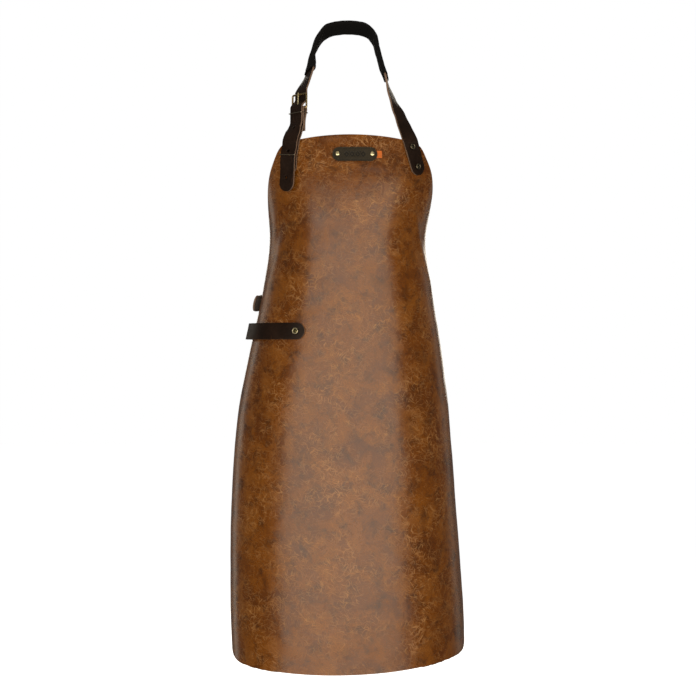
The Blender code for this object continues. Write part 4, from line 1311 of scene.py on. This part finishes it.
def make_label(kit):
    tag_lift = PANEL_FACE + GAP + TAG_THICKNESS / 2
    label_lift = tag_lift + TAG_THICKNESS / 2 + GAP + LABEL_THICKNESS / 2
    start, end = LABEL_ARC - LABEL_LENGTH / 2, LABEL_ARC + LABEL_LENGTH / 2
    path = Path(level_stations(start, end, 0.010, LABEL_DROP, label_lift))
    inset = LABEL_WIDTH * 0.37
    grip = label_lift + LABEL_THICKNESS / 2
    drills = kit.rivets(
        ("label_rivet_left", "label_rivet_right"), path, (inset, path.length - inset), grip,
        plain_profile, kit.pale, LABEL_CAP_RADIUS, LABEL_THICKNESS,
    )
    label = strap_piece("label_plate", path, kit.slate, LABEL_WIDTH, LABEL_THICKNESS,
                        spacing=0.0005, columns=44, rim=0.0007, cutters=drills)
    mesh = bmesh.new()
    mesh.from_mesh(label.data)
    layer = mesh.loops.layers.uv["cut"]
    stain = mesh.verts.layers.float.new("pressed")
    mesh.normal_update()
    presses = []
    for vert in mesh.verts:
        if all(face.material_index == 0 for face in vert.link_faces):
            along, across = vert.link_loops[0][layer].uv
            presses.append((vert, label_press(along - path.length / 2, across)))
    normals = [vert.normal.copy() for vert, press in presses]
    for (vert, press), normal in zip(presses, normals):
        vert.co -= normal * (press * LABEL_PRESS)
        vert[stain] = press
    mesh.to_mesh(label.data)
    mesh.free()
    tag_end = end + TAG_SHOWING
    tag = Path(level_stations(tag_end - TAG_LENGTH, tag_end, 0.005, LABEL_DROP, tag_lift))
    strap_piece("side_tag", tag, (kit.ribbon,) * 3, TAG_WIDTH, TAG_THICKNESS, False, False,
                spacing=0.001, rim=0.0002, cutters=drills[1:])


def loop_lift(arc):
    """Towel loop's lift: flat at both ends, standing off the hip between them."""
    share = (arc - LOOP_FRONT) / (LOOP_REAR - LOOP_FRONT)
    bulge = LOOP_BULGE * ease((share - 0.17) / 0.42) * ease((0.90 - share) / 0.24)
    return STRAP_LIFT + bulge


def make_towel_loop(kit):
    path = Path(level_stations(LOOP_FRONT, LOOP_REAR, 0.0135, LOOP_DROP, loop_lift))
    # Its rivet caps have a brightly painted ring highlight.
    drills = kit.rivets(
        ("towel_rivet_front", "towel_rivet_rear"), path,
        (LOOP_RIVET_INSET, path.length - LOOP_RIVET_INSET), STRAP_GRIP, finish=kit.ring_highlight_cap,
        cap_radius=CAP_RADIUS * 1.15,
    )
    strap_piece("towel_loop", path, kit.dark, cutters=drills)


make_camera()
make_studio()
bpy.context.scene.view_settings.view_transform = "Standard"
kit = Kit()
make_label(kit)
make_towel_loop(kit)
make_neck(kit)
make_waist(kit)
make_panel(kit.hide, kit.panel_cutters)
for thing in [o for o in bpy.data.objects if o.name.startswith("cutter")]:
    bpy.data.objects.remove(thing, do_unlink=True)
